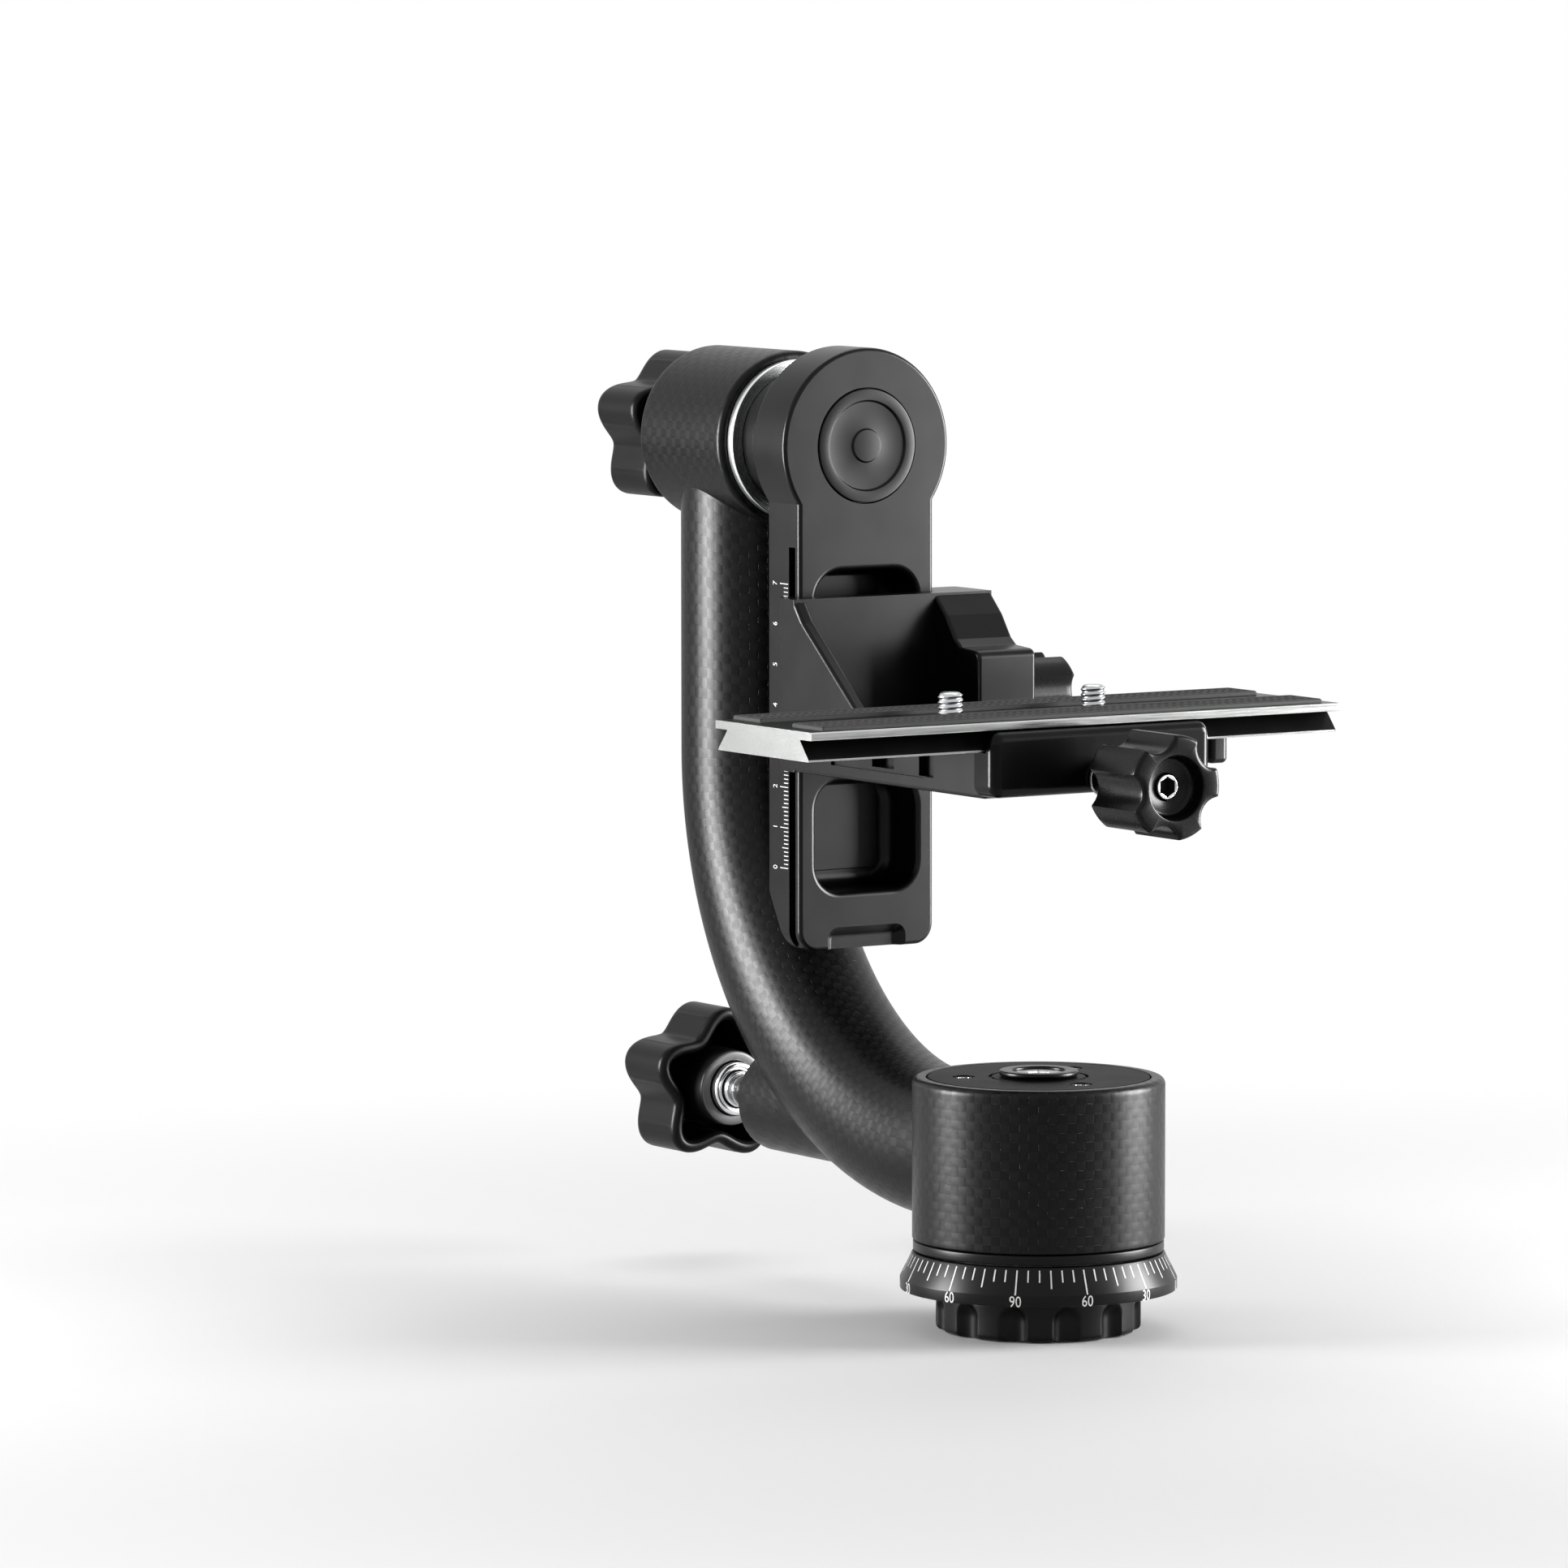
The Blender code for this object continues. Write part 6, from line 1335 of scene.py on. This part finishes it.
keptFinishes = {
    "thrust_washer": paleNylon, "pan_spindle": plainSteel, "spindle_nut": plainSteel, "drum_core": bareMetal,
    "lower_pan_bearing": plainSteel, "upper_pan_bearing": plainSteel, "pan_brake_pad": padBrass,
    "tilt_core": bareMetal, "tilt_bearing_inner": plainSteel, "tilt_bearing_outer": plainSteel,
    "tilt_brake_pad": padBrass, "tilt_axle": plainSteel, "height_lock_pad": padBrass,
    "guide_pin_front": plainSteel, "guide_pin_rear": plainSteel,
}
for name, finish in keptFinishes.items():
    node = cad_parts[name]
    node.data.materials.clear()
    node.data.materials.append(finish)
left = [n for n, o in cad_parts.items() if not o.hide_render and n not in keptFinishes]
print("nodes still in their plain finish:", left)


# floor, light and camera

studio = {"camera": (1.8160, -1.2312, 0.3372), "target": (-0.0328, -0.0514, 0.1312), "lens": 211.6,
          "sensor": 36.0, "roll": -0.06, "floorLow": -0.0003, "seenFade": (0.14, 0.50),
          "mirroredFade": (1.2, 4.0), "floorTone": 0.80,
          "sky": 0.32}


def makeFloor():
    # wide thin disc about the origin; its finish runs from a plain pale floor to white with distance
    level = studio["floorLow"] / mm
    radii = np.array([0.0, 30.0, 30.0, 12.0, 5.0, 2.0, 1.0, 0.5, 0.2, 0.0]) / mm
    levels = np.array([level - 20] * 2 + [level] * 8)
    lid = surface("studio_floor", around(radii, levels, (0, 0, 0), "up"), None)
    finish, tree, shader = freshFinish("paleFloor", 0.0, 0.1)
    place = objectPlace(tree)
    parts = addNode(tree, "ShaderNodeSeparateXYZ", {0: place}).outputs
    away = mathOut(tree, "SQRT", plus(tree, times(tree, parts[0], parts[0]),
                                         times(tree, parts[1], parts[1])))
    near, far = [addNode(tree, "ShaderNodeMapRange", {"Value": away, "From Min": low, "From Max": high},
                         interpolation_type="SMOOTHSTEP").outputs[0]
                 for low, high in (studio["seenFade"], studio["mirroredFade"])]
    shader.inputs["Base Color"].default_value = (studio["floorTone"],) * 3 + (1.0,)
    shader.inputs["Roughness"].default_value = 0.7
    rays = addNode(tree, "ShaderNodeLightPath").outputs
    direct = mathOut(tree, "MAXIMUM", rays["Is Camera Ray"], rays["Is Transmission Ray"])
    seen = times(tree, near, direct)
    mirrored = times(tree, far, rays["Is Glossy Ray"])
    white = addNode(tree, "ShaderNodeEmission", {"Color": (1, 1, 1, 1), "Strength": 1.0}).outputs[0]
    factor = mathOut(tree, "MAXIMUM", seen, mirrored)
    mixed = addNode(tree, "ShaderNodeMixShader", {0: factor, 1: shader.outputs[0], 2: white}).outputs[0]
    output = [n for n in tree.nodes if n.type == "OUTPUT_MATERIAL"][0]
    tree.links.new(mixed, output.inputs["Surface"])
    lid.data.materials.append(finish)


def makeWorld():
    # white where it is seen or mirrored, dimmer where it lights the object
    world = bpy.data.worlds.new("studioSky")
    bpy.context.scene.world = world
    world.use_nodes = True
    tree = world.node_tree
    tree.nodes.clear()
    rays = addNode(tree, "ShaderNodeLightPath").outputs
    seen = mathOut(tree, "MAXIMUM", rays["Is Camera Ray"], mathOut(tree, "MAXIMUM", rays["Is Glossy Ray"],
                                                                  rays["Is Transmission Ray"]))
    strength = addNode(tree, "ShaderNodeMapRange",
                       {"Value": seen, "To Min": studio["sky"], "To Max": 1.0}).outputs[0]
    sky = addNode(tree, "ShaderNodeBackground", {"Color": (1, 1, 1, 1), "Strength": strength}).outputs[0]
    output = addNode(tree, "ShaderNodeOutputWorld", {"Surface": sky})
    return output


# angle from the camera's side round the object (right is positive), rise, distance, size, brightness
lamps = {
    "rightBox": {"turn": 92.0, "rise": 8.0, "away": 0.62, "size": (0.30, 0.36), "brightness": 13.0},
    "leftBox": {"turn": -83.0, "rise": 8.0, "away": 0.68, "size": (0.28, 0.36), "brightness": 13.0},
    "topBox": {"turn": 180.0, "rise": 62.0, "away": 1.2, "size": (0.9, 0.5), "brightness": 2.0},
    "rightSheen": {"turn": 92.0, "rise": 8.0, "away": 0.60, "size": (0.30, 0.36), "brightness": 26.0,
                   "sheen": True},
    "leftSheen": {"turn": -83.0, "rise": 8.0, "away": 0.66, "size": (0.24, 0.36), "brightness": 36.0,
                  "sheen": True},
}
lampAim = (-0.05, 0.0, 0.10)


def makeLamps():
    # a lamp stands at aim + away * (cos rise * (cos turn, sin turn), sin rise); power = 4 * area * brightness;
    # a sheen lamp only shows as a highlight
    toCamera = math.atan2(studio["camera"][1] - lampAim[1], studio["camera"][0] - lampAim[0])
    for name, box in lamps.items():
        lamp = bpy.data.lights.new(name, "AREA")
        lamp.shape = "RECTANGLE"
        lamp.size, lamp.size_y = box["size"]
        lamp.energy = 4 * box["size"][0] * box["size"][1] * box["brightness"]
        holder = bpy.data.objects.new(name, lamp)
        bpy.context.scene.collection.objects.link(holder)
        turn, rise = toCamera + math.radians(box["turn"]), math.radians(box["rise"])
        outward = Vector((math.cos(rise) * math.cos(turn), math.cos(rise) * math.sin(turn), math.sin(rise)))
        holder.location = Vector(lampAim) + outward * box["away"]
        holder.rotation_euler = (-outward).to_track_quat("-Z", "Y").to_euler()
        holder.visible_diffuse = not box.get("sheen", False)


def makeCamera():
    # camera at the photo's fitted place, turned to its target and rolled
    camera = bpy.data.cameras.new("photoCamera")
    camera.lens = studio["lens"]
    camera.sensor_width = studio["sensor"]
    camera.dof.use_dof = False
    camera.clip_start, camera.clip_end = 0.05, 100.0
    holder = bpy.data.objects.new("photoCamera", camera)
    bpy.context.scene.collection.objects.link(holder)
    holder.location = studio["camera"]
    direction = Vector(studio["target"]) - Vector(studio["camera"])
    aim = direction.to_track_quat("-Z", "Y").to_matrix()
    roll = Matrix.Rotation(math.radians(studio["roll"]), 3, "Z")
    holder.rotation_euler = (aim @ roll).to_euler()
    bpy.context.scene.camera = holder


makeFloor()
makeWorld()
makeLamps()
makeCamera()
bpy.context.scene.view_settings.view_transform = "Standard"
